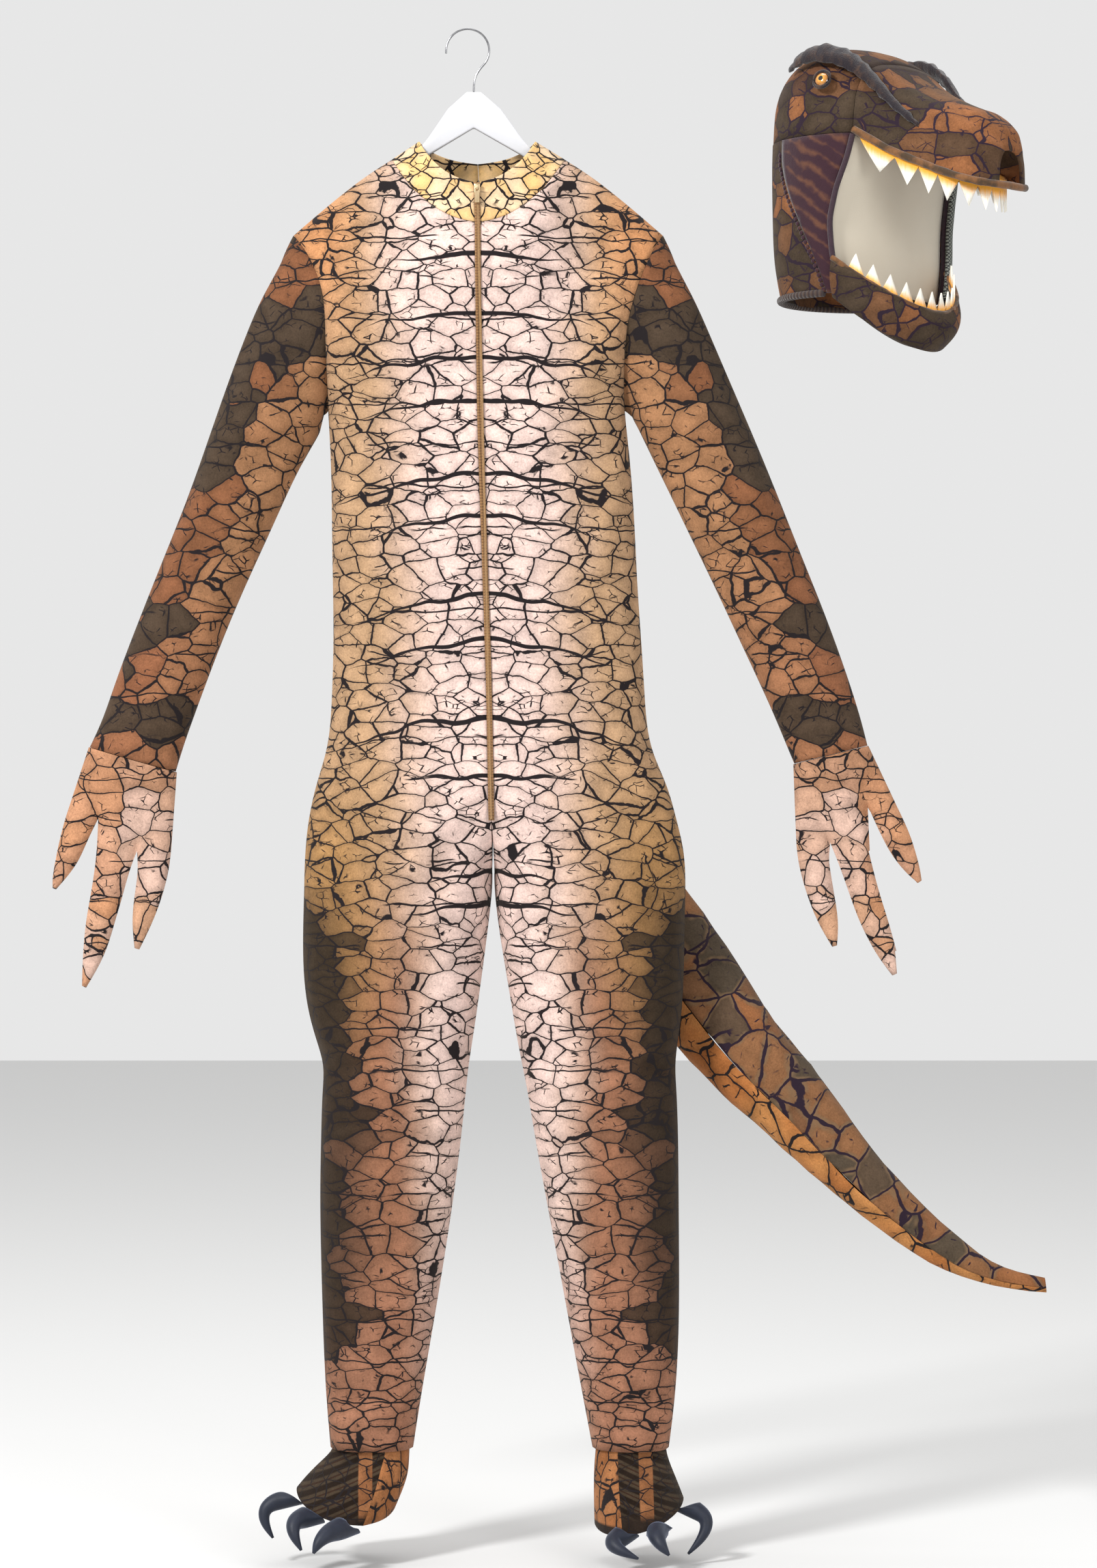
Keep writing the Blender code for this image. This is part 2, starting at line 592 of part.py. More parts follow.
def glove_piece(name, side, facing, finish):
    palm, fingers = glove_half(side, facing)
    bm = bmesh.new()
    grid = [[tuple(bm.verts.new(point) for point in pair) for pair in row] for row in palm]

    def skin_cells(upper, lower):
        for c in range(len(upper) - 1):
            for k in (0, 1):
                bm.faces.new((upper[c][k], upper[c + 1][k], lower[c + 1][k], lower[c][k]))

    def rim(pairs):
        for first, second in zip(pairs, pairs[1:]):
            bm.faces.new((first[0], second[0], second[1], first[1]))

    for upper, lower in zip(grid, grid[1:]):
        skin_cells(upper, lower)
    rim(grid[0])
    rim([row[0] for row in grid])
    rim([row[-1] for row in grid])
    for f, rows in enumerate(fingers):
        strip = [grid[-1][f * FINGER_CELLS:(f + 1) * FINGER_CELLS + 1]]
        strip += [[tuple(bm.verts.new(point) for point in pair) for pair in row] for row in rows]
        for upper, lower in zip(strip, strip[1:]):
            skin_cells(upper, lower)
        rim([row[0] for row in strip])
        rim([row[-1] for row in strip])
        rim(strip[-1])
    return add_object(name, bm, finish)


for side, side_name in ((-1, "left"), (1, "right")):
    glove_piece(f"glove_{side_name}_palm", side, -1, GLOVE)
    glove_piece(f"glove_{side_name}_back", side, 1, SLEEVE)


def solid(name, rings, finish, start=None, end=None):
    """A closed body through rings of points; start and end give each cap one middle point."""
    bm = bmesh.new()
    rows = [[bm.verts.new(point) for point in ring] for ring in rings]
    count = len(rows[0])
    for upper, lower in zip(rows, rows[1:]):
        for c in range(count):
            d = (c + 1) % count
            bm.faces.new((upper[c], upper[d], lower[d], lower[c]))
    for row, middle in ((rows[0], start), (rows[-1], end)):
        if middle is None:
            bm.faces.new(row)
            continue
        tip = bm.verts.new(middle)
        for c in range(count):
            bm.faces.new((row[c], row[(c + 1) % count], tip))
    return add_object(name, bm, finish)


# The tail: a stuffed cone of two pieces, its root sewn flush to the seat, which swings out to the right.
# A ring lies between its top and low edges as seen from the front, at its own distance behind the middle.
TailRing = namedtuple("TailRing", "top_x top_below low_x low_below back half_depth")
TAIL_RINGS = (
    TailRing(248.6, 966.9, 159.3, 1057.8, 128, 52),
    TailRing(299.9, 1043.1, 225.3, 1151.1, 88, 52),
    TailRing(348.9, 1126.2, 276.6, 1203.1, 66, 46),
    TailRing(378.4, 1155.8, 306.1, 1231.2, 58, 43),
    TailRing(437.5, 1235.8, 381.5, 1294.1, 48, 35),
    TailRing(471.6, 1289.4, 425.8, 1336.8, 42, 29),
    TailRing(544.7, 1362.5, 512, 1400.5, 34, 21),
    TailRing(598.3, 1410.6, 580.4, 1432.4, 30, 13),
    TailRing(659.7, 1423, 662, 1440.1, 28, 6),
)
TAIL_TIP = (674, 28, -1438.5)
ROOT_TOP = (142, 852)
ROOT_LOW = (96, 962)
ROOT_HALF = 46
ROOT_STAND = 2.6              # off the seat at the root's corners, so that its straight edges clear the curve
ROOT_HOLLOW = 13             # how far the stuffing stands off the seat inside the root's seam
ELBOW_BACK = 118             # the ring between the root and the first hanging ring: how far back it stands,
ELBOW_SHIFT = 14             # how far towards the middle, and its depth as shares of the root's
ELBOW_ACROSS = 0.72
ELBOW_FORWARD = 0.55
BELLY_SHARE = 0.66           # where the lower seam runs, as a share of the way from top to low
TOP_STEPS = 9
BELLY_STEPS = 6


def seat_depth(x, below, side=1):
    """How far back the back panel stands at a place."""
    grid = PANELS[side, 1][0]
    levels = [float(np.interp(x, row[:, 0], row[:, 1])) for row in grid]
    return float(np.interp(below, [-row[0, 2] for row in grid], levels))


def tail_ring(top, low, depth_way, first, last, steps, gap):
    """Part of an elliptical ring, from one share of its height round the front to the other side."""
    centre, half = (top + low) / 2, (top - low) / 2
    ring = []
    for k in range(steps + 1):
        angle = first + (last - first) * k / steps
        ring.append(centre + half * cos(angle) + depth_way * sin(angle))
    ring.append((ring[0] + ring[-1]) / 2)
    return np.array(ring) + half / np.linalg.norm(half) * gap


def tail_piece(name, finish, upper):
    turn = float(np.arccos(1 - 2 * BELLY_SHARE))
    first, last, steps = (-turn, turn, TOP_STEPS) if upper else (turn, 2 * pi - turn, BELLY_STEPS)
    gap = HALF_SEAM if upper else -HALF_SEAM
    root_top, root_low = (np.array((x, 0, -below)) for x, below in (ROOT_TOP, ROOT_LOW))
    way = root_top - root_low
    outward = np.array((-way[2], 0, way[0])) / np.linalg.norm(way) * -ROOT_HALF
    if outward[0] < 0:
        outward = -outward
    root = tail_ring(root_top, root_low, outward, first, last, steps, gap)
    for point in root:
        point[1] = seat_depth(point[0], -point[2]) + ROOT_STAND
    root[-1, 1] += ROOT_HOLLOW
    first_ring = TAIL_RINGS[0]
    rings = [root]
    elbow = []
    for (x, below), ring_x, ring_below in ((ROOT_TOP, first_ring.top_x, first_ring.top_below),
                                           (ROOT_LOW, first_ring.low_x, first_ring.low_below)):
        elbow.append(np.array(((x + ring_x) / 2 - ELBOW_SHIFT, ELBOW_BACK, -(below + ring_below) / 2)))
    elbow_way = outward * ELBOW_ACROSS + np.array((0, -ROOT_HALF * ELBOW_FORWARD, 0))
    rings.append(tail_ring(*elbow, elbow_way, first, last, steps, gap))
    for ring in TAIL_RINGS:
        top = np.array((ring.top_x, ring.back, -ring.top_below))
        low = np.array((ring.low_x, ring.back, -ring.low_below))
        rings.append(tail_ring(top, low, np.array((0, -ring.half_depth, 0)), first, last, steps, gap))
    middle = root.mean(axis=0) + np.array((0, ROOT_HOLLOW, 0))
    return solid(name, rings, finish, start=middle)


tail_piece("tail_top", TAIL, True)
tail_piece("tail_belly", ORANGE, False)


# The hanger: flat and plain, its arms inside the shoulders, with a wire hook that opens to the left.
HANGER_THICK = 8
HANGER_CROWN = ((30, 90, 129), (53, 123, 143), (74, 148, 160))  # reach from its middle, top and lower edge
HANGER_REACHES = [share * SHOULDER_HALF for share in YOKE_COLUMNS[NECK_COLUMNS - 1:-1]]
HANGER_UNDER_SEAM = 8.8
ARM_HEIGHT = 15
HOOK_WIRE = 1.3
HOOK_RADIUS = 23.5
HOOK_CENTRE_X = 0.0
NECK_X = 7.0
NECK_TOP = (8, 71)           # the neck's half width and top
NECK_UNDERSIDE = 112
CROWN_TO_NECK = middle_at(SHOULDER_BELOW) - NECK_X       # the suit hangs a little to the right of the hook


def flat_plate(name, outline, thick, finish):
    """A plate cut to an outline seen from the front, centred front to back."""
    bm = bmesh.new()
    face = bm.faces.new([bm.verts.new((x, -thick / 2, -below)) for x, below in outline])
    made = bmesh.ops.extrude_face_region(bm, geom=[face])
    moved = [item for item in made["geom"] if isinstance(item, bmesh.types.BMVert)]
    bmesh.ops.translate(bm, vec=(0, thick, 0), verts=moved)
    return add_object(name, bm, finish)


arms = list(HANGER_CROWN)
for reach in HANGER_REACHES:
    seam_below = top_edge(reach, -1)[0]
    arms.append((reach, seam_below + HANGER_UNDER_SEAM, seam_below + HANGER_UNDER_SEAM + ARM_HEIGHT))
right_side = [(reach, top) for reach, top, _ in arms] + [(reach, low) for reach, _, low in reversed(arms)]
outline = []
for hand, run in ((1, right_side), (-1, list(reversed(right_side)))):
    outline += [(NECK_X + reach * (hand + CROWN_TO_NECK / SHOULDER_HALF), below) for reach, below in run]
    neck_top = [(NECK_X + way * NECK_TOP[0], NECK_TOP[1]) for way in (-1, 1)]
    outline += [(NECK_X, NECK_UNDERSIDE)] if hand > 0 else neck_top
flat_plate("hanger_body", outline, HANGER_THICK, HANGER)


def tube(name, path, radius, sides, finish):
    """A round wire along a path that lies in the front plane."""
    rings = []
    for k, point in enumerate(path):
        before, after = path[max(k - 1, 0)], path[min(k + 1, len(path) - 1)]
        along_path = Vector(after) - Vector(before)
        along_path.normalize()
        sideways = Vector((-along_path.z, 0, along_path.x))
        angles = [2 * pi * n / sides for n in range(sides)]
        rings.append([Vector(point) + radius * (sideways * cos(a) + Vector((0, sin(a), 0))) for a in angles])
    return solid(name, rings, finish)


hook_centre = Vector((HOOK_CENTRE_X, 0, -HOOK_RADIUS))
hook_path = []
for step in range(15):
    angle = radians(188 - step * 16)
    hook_path.append(hook_centre + (HOOK_RADIUS + HOOK_WIRE) * Vector((cos(angle), 0, sin(angle))))
hook_path += [Vector((14, 0, -44)), Vector((NECK_X + 1, 0, -54)), Vector((NECK_X, 0, -63))]
hook_path.append(Vector((NECK_X, 0, SEAM - NECK_TOP[1])))
tube("hanger_hook", hook_path, HOOK_WIRE, 8, WIRE)


# The foot covers: a striped instep and a printed side and heel, from inside the hem down to the toe edge,
# with three stuffed claws on the toe edge. A row gives the outer and inner edge, its depth and the toes' drop.
FootRow = namedtuple("FootRow", "out_x out_below in_x in_below front back drop")
FEET = {
    -1: (
        FootRow(-153.2, 1598, -64.9, 1598, 42, 44, 0),
        FootRow(-153.2, 1615, -64.9, 1615, 42, 44, 0),
        FootRow(-168, 1628, -65.5, 1626, 52, 46, 3),
        FootRow(-184, 1643, -66, 1645, 68, 45, 10),
        FootRow(-196, 1657, -80, 1676, 86, 40, 20),
    ),
    1: (
        FootRow(226.3, 1598, 144.9, 1598, 42, 44, 0),
        FootRow(226.3, 1615, 144.9, 1615, 42, 44, 0),
        FootRow(231, 1630, 143, 1628, 52, 46, 3),
        FootRow(239, 1648, 142, 1658, 68, 45, 8),
        FootRow(247, 1668, 143, 1697, 86, 40, 14),
    ),
}
Claw = namedtuple("Claw", "turn stand radius bend_x bend_y bend_below tip_x tip_y tip_below")
CLAWS = {
    -1: (
        Claw(16, 4.5, 13, -250, -34, 1668, -219, -40, 1709),
        Claw(56, 3.2, 15, -208, -108, 1672, -183, -112, 1710.5),
        Claw(97, 3.1, 16, -160, -128, 1684, -168.6, -132, 1710.5),
    ),
    1: (
        Claw(107, 0.8, 15, 142, -112, 1700, 191.9, -122, 1718),
        Claw(66, 4.4, 15, 206, -122, 1692, 226, -124, 1714),
        Claw(16, 4.2, 13, 295, -36, 1684, 249.4, -46, 1726),
    ),
}
FOOT_CELLS = 16
INSTEP_FROM = -2             # the instep's first and last cell, counted from the outer edge round the front
INSTEP_TO = 5
CLAW_RINGS = 7
CLAW_SIDES = 8


def foot_point(row, turn, inset):
    out = np.array((row.out_x, 0, -row.out_below), float)
    inn = np.array((row.in_x, 0, -row.in_below), float)
    half = (out - inn) / 2
    half = half * (1 - inset / np.linalg.norm(half))
    depth = (row.front if sin(turn) > 0 else row.back) - inset
    drop = row.drop * max(sin(turn), 0)
    return (out + inn) / 2 + half * cos(turn) + np.array((0, -depth * sin(turn), -drop))


def foot_piece(name, side, first, last, finish):
    outer, inner = [], []
    for row in FEET[side]:
        cells = range(first, last + 1)
        gap = HALF_SEAM / max(row.front, 40)
        turns = [2 * pi * c / FOOT_CELLS + gap * ((c == first) - (c == last)) for c in cells]
        outer.append([foot_point(row, turn, 0) for turn in turns])
        inner.append([foot_point(row, turn, CLOTH) for turn in turns])
    return wall(name, outer, inner, finish)


def curved_cone(name, start, direction, bend, tip, radius, finish, rings=CLAW_RINGS, sides=CLAW_SIDES):
    """A stuffed claw: round at its root, bending to a blunt point."""
    centre_line = []
    for k in range(rings):
        t = k / (rings - 1)
        point = start * (1 - t) ** 2 + bend * 2 * t * (1 - t) + tip * t ** 2
        centre_line.append((point, radius * (1 - t) ** 0.7 + 1.6 * t))
    across = direction.orthogonal().normalized()
    made = []
    for k, (point, size) in enumerate(centre_line):
        ahead = direction if k == 0 else (centre_line[min(k + 1, rings - 1)][0] - centre_line[k - 1][0])
        ahead = ahead.normalized()
        across = (across - ahead * across.dot(ahead)).normalized()
        other = ahead.cross(across)
        made.append([point + (across * cos(2 * pi * n / sides) + other * sin(2 * pi * n / sides)) * size
                     for n in range(sides)])
    return solid(name, made, finish)


for side, side_name in ((-1, "left"), (1, "right")):
    foot_piece(f"foot_{side_name}_instep", side, INSTEP_FROM, INSTEP_TO, STRIPED)
    foot_piece(f"foot_{side_name}_heel", side, INSTEP_TO, INSTEP_FROM + FOOT_CELLS, ORANGE)
    for number, claw in enumerate(CLAWS[side], 1):
        turn = radians(claw.turn)
        toe, shin = (Vector(foot_point(row, turn, CLOTH / 2)) for row in (FEET[side][-1], FEET[side][-2]))
        direction = (toe - shin).normalized()
        curved_cone(f"foot_{side_name}_claw_{number}", toe + direction * claw.stand, direction,
                    Vector((claw.bend_x, claw.bend_y, -claw.bend_below)),
                    Vector((claw.tip_x, claw.tip_y, -claw.tip_below)), claw.radius, CLAW)


# The head: a mask of printed velour over foam, worn over the head with its jaws open. It is laid out in its
# own directions, ahead (towards the snout), left (its own left) and below the hook, then turned to its place.
HEAD_X = 455
HEAD_Y = 60
HEAD_TURN = radians(45)        # from facing right towards facing the front
HEAD_WALL = 3.0
AHEAD = np.array((cos(HEAD_TURN), -sin(HEAD_TURN), 0))
LEFT = np.array((sin(HEAD_TURN), cos(HEAD_TURN), 0))


def head_point(ahead, left, below):
    return np.array((HEAD_X, HEAD_Y, -below)) + AHEAD * ahead + LEFT * left


# Skull and snout: sections across, from the back of the head to the nose.
Skull = namedtuple("Skull", "ahead half lip top")
SKULL = (
    Skull(-106, 16, 122, 104),
    Skull(-96, 45, 122, 68),
    Skull(-76, 74, 122, 40),
    Skull(-45, 95, 122, 20),
    Skull(-10, 104, 122, 12),
    Skull(25, 102, 122, 16),
    Skull(60, 88, 122, 38),
    Skull(85, 77, 139, 58),
    Skull(110, 70, 153, 72),
    Skull(140, 64, 166, 86),
    Skull(170, 58, 179, 97),
    Skull(195, 49, 188, 106),
    Skull(210, 36, 192, 124),
    Skull(217, 20, 193, 150),
)
SKULL_SPLIT = 6
SKULL_SQUARE = 0.68
SKULL_CELLS = 12


def skull_point(ahead, turn):
    """A point of the skull at a turn from its top, and how far the section stands there."""
    half, lip, top = (along(SKULL, "ahead", field, ahead) for field in ("half", "lip", "top"))
    left = half * (abs(sin(turn)) ** SKULL_SQUARE) * (1 if turn > 0 else -1)
    below = lip - (lip - top) * max(cos(turn), 0) ** SKULL_SQUARE
    return head_point(ahead, left, below)


def skull_rows(stations):
    turns = [pi / 2 * (2 * c / SKULL_CELLS - 1) for c in range(SKULL_CELLS + 1)]
    return np.array([[skull_point(ahead, turn) for turn in turns] for ahead in stations])


outer = skull_rows([row.ahead for row in SKULL])
inner = inward(outer, HEAD_WALL, (None,) * 4, 1)
for name, rows, seam_row, away in (
    ("head_crown", slice(None, SKULL_SPLIT + 1), SKULL_SPLIT, -1),
    ("head_snout", slice(SKULL_SPLIT, None), 0, 1),
):
    skins = [skin[rows].copy() for skin in (outer, inner)]
    for skin in skins:
        skin[seam_row] += AHEAD * SEAM * away
    wall(name, *skins, HEAD)


# The hood below the skull: oval levels, open in front, in three pieces whose edges are given by azimuth
# from straight ahead: the mouth's edge, and the line where the cheek meets the printed back.
Hood = namedtuple("Hood", "below long wide mouth cheek")
HOOD = (
    Hood(122.7, 106, 104, 57, 112),
    Hood(150, 106, 106, 60, 112),
    Hood(185, 106, 106, 67, 104),
    Hood(220, 105, 106, 71, 93),
    Hood(252, 104, 105, 70, 84),
    Hood(278, 100, 102, 68, 78),
    Hood(302, 95, 98, 66, 74),
)
CHEEK_CELLS = 4
HOOD_CELLS = 14
SEAM_TURN = 0.12


def hood_wall(name, spans, cells, finish):
    """A piece of the hood between two azimuths on each level."""
    outer, inner = [], []
    for row, (first, last) in zip(HOOD, spans):
        turns = [radians(first + (last - first) * c / cells) for c in range(cells + 1)]
        outer.append([head_point(row.long * cos(t), row.wide * sin(t), row.below) for t in turns])
        inner.append([head_point((row.long - HEAD_WALL) * cos(t), (row.wide - HEAD_WALL) * sin(t), row.below)
                      for t in turns])
    wall(name, outer, inner, finish)


behind = [(row.cheek + SEAM_TURN, 360 - row.cheek - SEAM_TURN) for row in HOOD]
hood_wall("head_back", behind, HOOD_CELLS, HEAD)
hood_wall("head_cheek_left", [(row.mouth, row.cheek - SEAM_TURN) for row in HOOD], CHEEK_CELLS, CHEEK)
hood_wall("head_cheek_right", [(-row.mouth, -row.cheek + SEAM_TURN) for row in HOOD], CHEEK_CELLS, CHEEK)


# The lower jaw: a trough that hangs open, from its lip round under the chin to the throat.
Jaw = namedtuple("Jaw", "half reach start below drop")
JAW = (
    Jaw(99, 74, 38, 263, 62),
    Jaw(101, 80, 38, 278, 60),
    Jaw(99, 80, 37, 292, 60),
    Jaw(90, 66, 34, 305, 60),
    Jaw(74, 44, 32, 306, 52),
)
JAW_CELLS = 14
JAW_NARROW = 0.26


def jaw_point(row, turn):
    left = row.half * sin(turn) * (1 - JAW_NARROW * cos(turn))
    return head_point(row.start + row.reach * cos(turn), left, row.below + row.drop * cos(turn))


turns = [pi * (c / JAW_CELLS - 0.5) for c in range(JAW_CELLS + 1)]
outer = np.array([[jaw_point(row, turn) for turn in turns] for row in JAW])
wall("head_jaw", outer, inward(outer, HEAD_WALL, (None,) * 4, -1), HEAD)


# The face mesh: one thin sheet across the open mouth, from cheek to cheek and down to the lower jaw.
MESH_THICK = 1.2
MESH_CELLS = 8
MESH_BOW = 14
MESH_INSET = 3.7
outer, inner = [], []
for row in HOOD:
    turn = radians(row.mouth)
    half = row.wide * sin(turn) - MESH_INSET
    edge = row.long * cos(turn) - 1.0
    ahead = [edge + MESH_BOW * (1 - (2 * c / MESH_CELLS - 1) ** 2) for c in range(MESH_CELLS + 1)]
    side_ways = [half * (2 * c / MESH_CELLS - 1) for c in range(MESH_CELLS + 1)]
    outer.append([head_point(a, s, row.below) for a, s in zip(ahead, side_ways)])
    inner.append([head_point(a - MESH_THICK, s, row.below) for a, s in zip(ahead, side_ways)])
wall("head_face_mesh", outer, inner, MESH_CLOTH)


# The brow ridges: stuffed rolls along the top corners of the skull, from behind the eye down to the snout.
Brow = namedtuple("Brow", "ahead turn radius stand")
BROWS = (
    Brow(-34, 50, 5, 3.2),
    Brow(-18, 46, 11, 3.2),
    Brow(6, 43, 15, 3.4),
    Brow(34, 43, 14, 3.2),
    Brow(60, 46, 11, 2.0),
    Brow(86, 52, 8, 1.0),
    Brow(112, 60, 5.5, 0.7),
    Brow(134, 66, 3, 0.7),
)
BROW_SIDES = 8
EYE_AHEAD = 24
EYE_TURN = 65
EYE_RADIUS = 9.5
EYE_FLAT = 0.5
EYE_STAND = 0.6
BROW_FLAT = 0.6


def skull_out(ahead, turn, side):
    """A point of the skull, and the way out of it."""
    here = skull_point(ahead, side * turn)
    step = skull_point(ahead, side * (turn + 0.05)) - skull_point(ahead, side * (turn - 0.05))
    fore = skull_point(ahead + 3, side * turn) - skull_point(ahead - 3, side * turn)
    out = np.cross(fore, step) * side
    return here, out / np.linalg.norm(out)


for side, side_name in ((-1, "right"), (1, "left")):
    rings = []
    for brow in BROWS:
        here, out = skull_out(brow.ahead, radians(brow.turn), side)
        across = np.cross(AHEAD, out)
        across /= np.linalg.norm(across)
        up = np.cross(across, AHEAD)
        if up @ out < 0:
            up = -up
        centre = here + out * (brow.radius * BROW_FLAT + brow.stand)
        angles = [2 * pi * k / BROW_SIDES for k in range(BROW_SIDES)]
        rings.append([centre + (across * cos(a) + up * (sin(a) * BROW_FLAT)) * brow.radius for a in angles])
    solid(f"head_brow_{side_name}", rings, HEAD)

    here, out = skull_out(EYE_AHEAD, radians(EYE_TURN), side)
    bm = bmesh.new()
    bmesh.ops.create_uvsphere(bm, u_segments=12, v_segments=6, radius=EYE_RADIUS)
    bmesh.ops.scale(bm, vec=(1, 1, EYE_FLAT), verts=bm.verts)
    facing_out = Vector((0, 0, 1)).rotation_difference(Vector(out))
    bmesh.ops.rotate(bm, matrix=facing_out.to_matrix(), verts=bm.verts)
    bmesh.ops.translate(bm, vec=here + out * (EYE_RADIUS * EYE_FLAT + EYE_STAND), verts=bm.verts)
    add_object(f"head_eye_{side_name}", bm, EYE)


# The teeth: a strip of stiff felt cut to points, inside each lip.
TOOTH_THICK = 2.0
UPPER_TEETH = 14
UPPER_TEETH_FROM = 66
UPPER_TOOTH = 27
LOWER_TEETH = 12
LOWER_TOOTH = 24
STRIP_HIDDEN = 9
UPPER_GAP = 0.5               # from the lip's inner face to the strip; the jaw's lip is slack and lets its
LOWER_GAP = -1.8              # strip further out


def tooth_strip(name, path, inward_ways, down, tall):
    """A zigzag strip along a lip: every second point of its path reaches out to a tip."""
    outer, inner = [[], []], [[], []]
    for k, (point, way) in enumerate(zip(path, inward_ways)):
        reach = tall if k % 2 else 1.5
        for row, height in ((0, -STRIP_HIDDEN), (1, reach)):
            place = point + np.array((0, 0, -down * height))
            outer[row].append(place)
            inner[row].append(place + way * TOOTH_THICK)
    wall(name, outer, inner, TOOTH)


UPPER_TEETH_TO = 206
UPPER_SPREAD = 1.25           # how soon the row reaches the lip's sides
LOWER_SPREAD = 0.86           # the share of the jaw's half turn that has teeth
UPPER_BEHIND = 4              # the row stands this far behind the lip's edge
LEAN_FROM = 60                # the strip's thickness runs towards a point this far behind

count = 2 * UPPER_TEETH
path, ways = [], []
for k in range(count + 1):
    turn = pi * (k / count - 0.5)
    ahead = UPPER_TEETH_FROM + (UPPER_TEETH_TO - UPPER_TEETH_FROM) * abs(cos(turn)) ** 0.8
    half, lip = (along(SKULL, "ahead", field, ahead) for field in ("half", "lip"))
    spread = UPPER_SPREAD * sin(turn) / max(abs(cos(turn)), 0.25) ** 0.25
    left = (half - HEAD_WALL - UPPER_GAP) * max(-1, min(1, spread))
    path.append(head_point(ahead - UPPER_BEHIND, left, lip))
    way = head_point(ahead - LEAN_FROM, 0, lip) - path[-1]
    ways.append(way / np.linalg.norm(way))
tooth_strip("head_teeth_upper", path, ways, 1, UPPER_TOOTH)

count = 2 * LOWER_TEETH
path, ways = [], []
lip_inset = HEAD_WALL + LOWER_GAP
inside = JAW[0]._replace(half=JAW[0].half - lip_inset, reach=JAW[0].reach - lip_inset)
for k in range(count + 1):
    turn = pi * LOWER_SPREAD * (k / count - 0.5)
    path.append(jaw_point(inside, turn))
    way = head_point(20, 0, -path[-1][2]) - path[-1]
    ways.append(way / np.linalg.norm(way))
tooth_strip("head_teeth_lower", path, ways, -1, LOWER_TOOTH)
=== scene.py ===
from math import cos, pi, radians, sin

import bmesh
import bpy
import numpy as np
from mathutils import Matrix, Vector, noise


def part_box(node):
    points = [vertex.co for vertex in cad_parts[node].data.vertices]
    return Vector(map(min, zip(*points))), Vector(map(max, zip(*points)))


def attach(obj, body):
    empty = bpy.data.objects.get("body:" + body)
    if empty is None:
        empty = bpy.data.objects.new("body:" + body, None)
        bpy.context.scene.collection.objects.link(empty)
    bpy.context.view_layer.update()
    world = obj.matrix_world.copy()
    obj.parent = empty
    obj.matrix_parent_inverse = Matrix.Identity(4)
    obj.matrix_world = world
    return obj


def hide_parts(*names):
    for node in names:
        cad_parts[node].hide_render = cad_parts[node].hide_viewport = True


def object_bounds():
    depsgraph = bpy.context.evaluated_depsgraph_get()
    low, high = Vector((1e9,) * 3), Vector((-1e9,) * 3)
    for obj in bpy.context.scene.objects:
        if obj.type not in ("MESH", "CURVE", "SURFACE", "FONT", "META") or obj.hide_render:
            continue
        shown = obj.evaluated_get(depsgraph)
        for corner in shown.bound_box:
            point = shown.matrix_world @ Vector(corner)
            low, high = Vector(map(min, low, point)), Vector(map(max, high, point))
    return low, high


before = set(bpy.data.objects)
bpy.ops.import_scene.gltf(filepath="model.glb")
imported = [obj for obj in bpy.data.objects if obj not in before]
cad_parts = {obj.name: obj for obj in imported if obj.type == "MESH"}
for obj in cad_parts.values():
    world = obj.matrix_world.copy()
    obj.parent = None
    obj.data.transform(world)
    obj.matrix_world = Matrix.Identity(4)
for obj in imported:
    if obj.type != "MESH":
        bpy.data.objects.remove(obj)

cad_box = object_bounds()
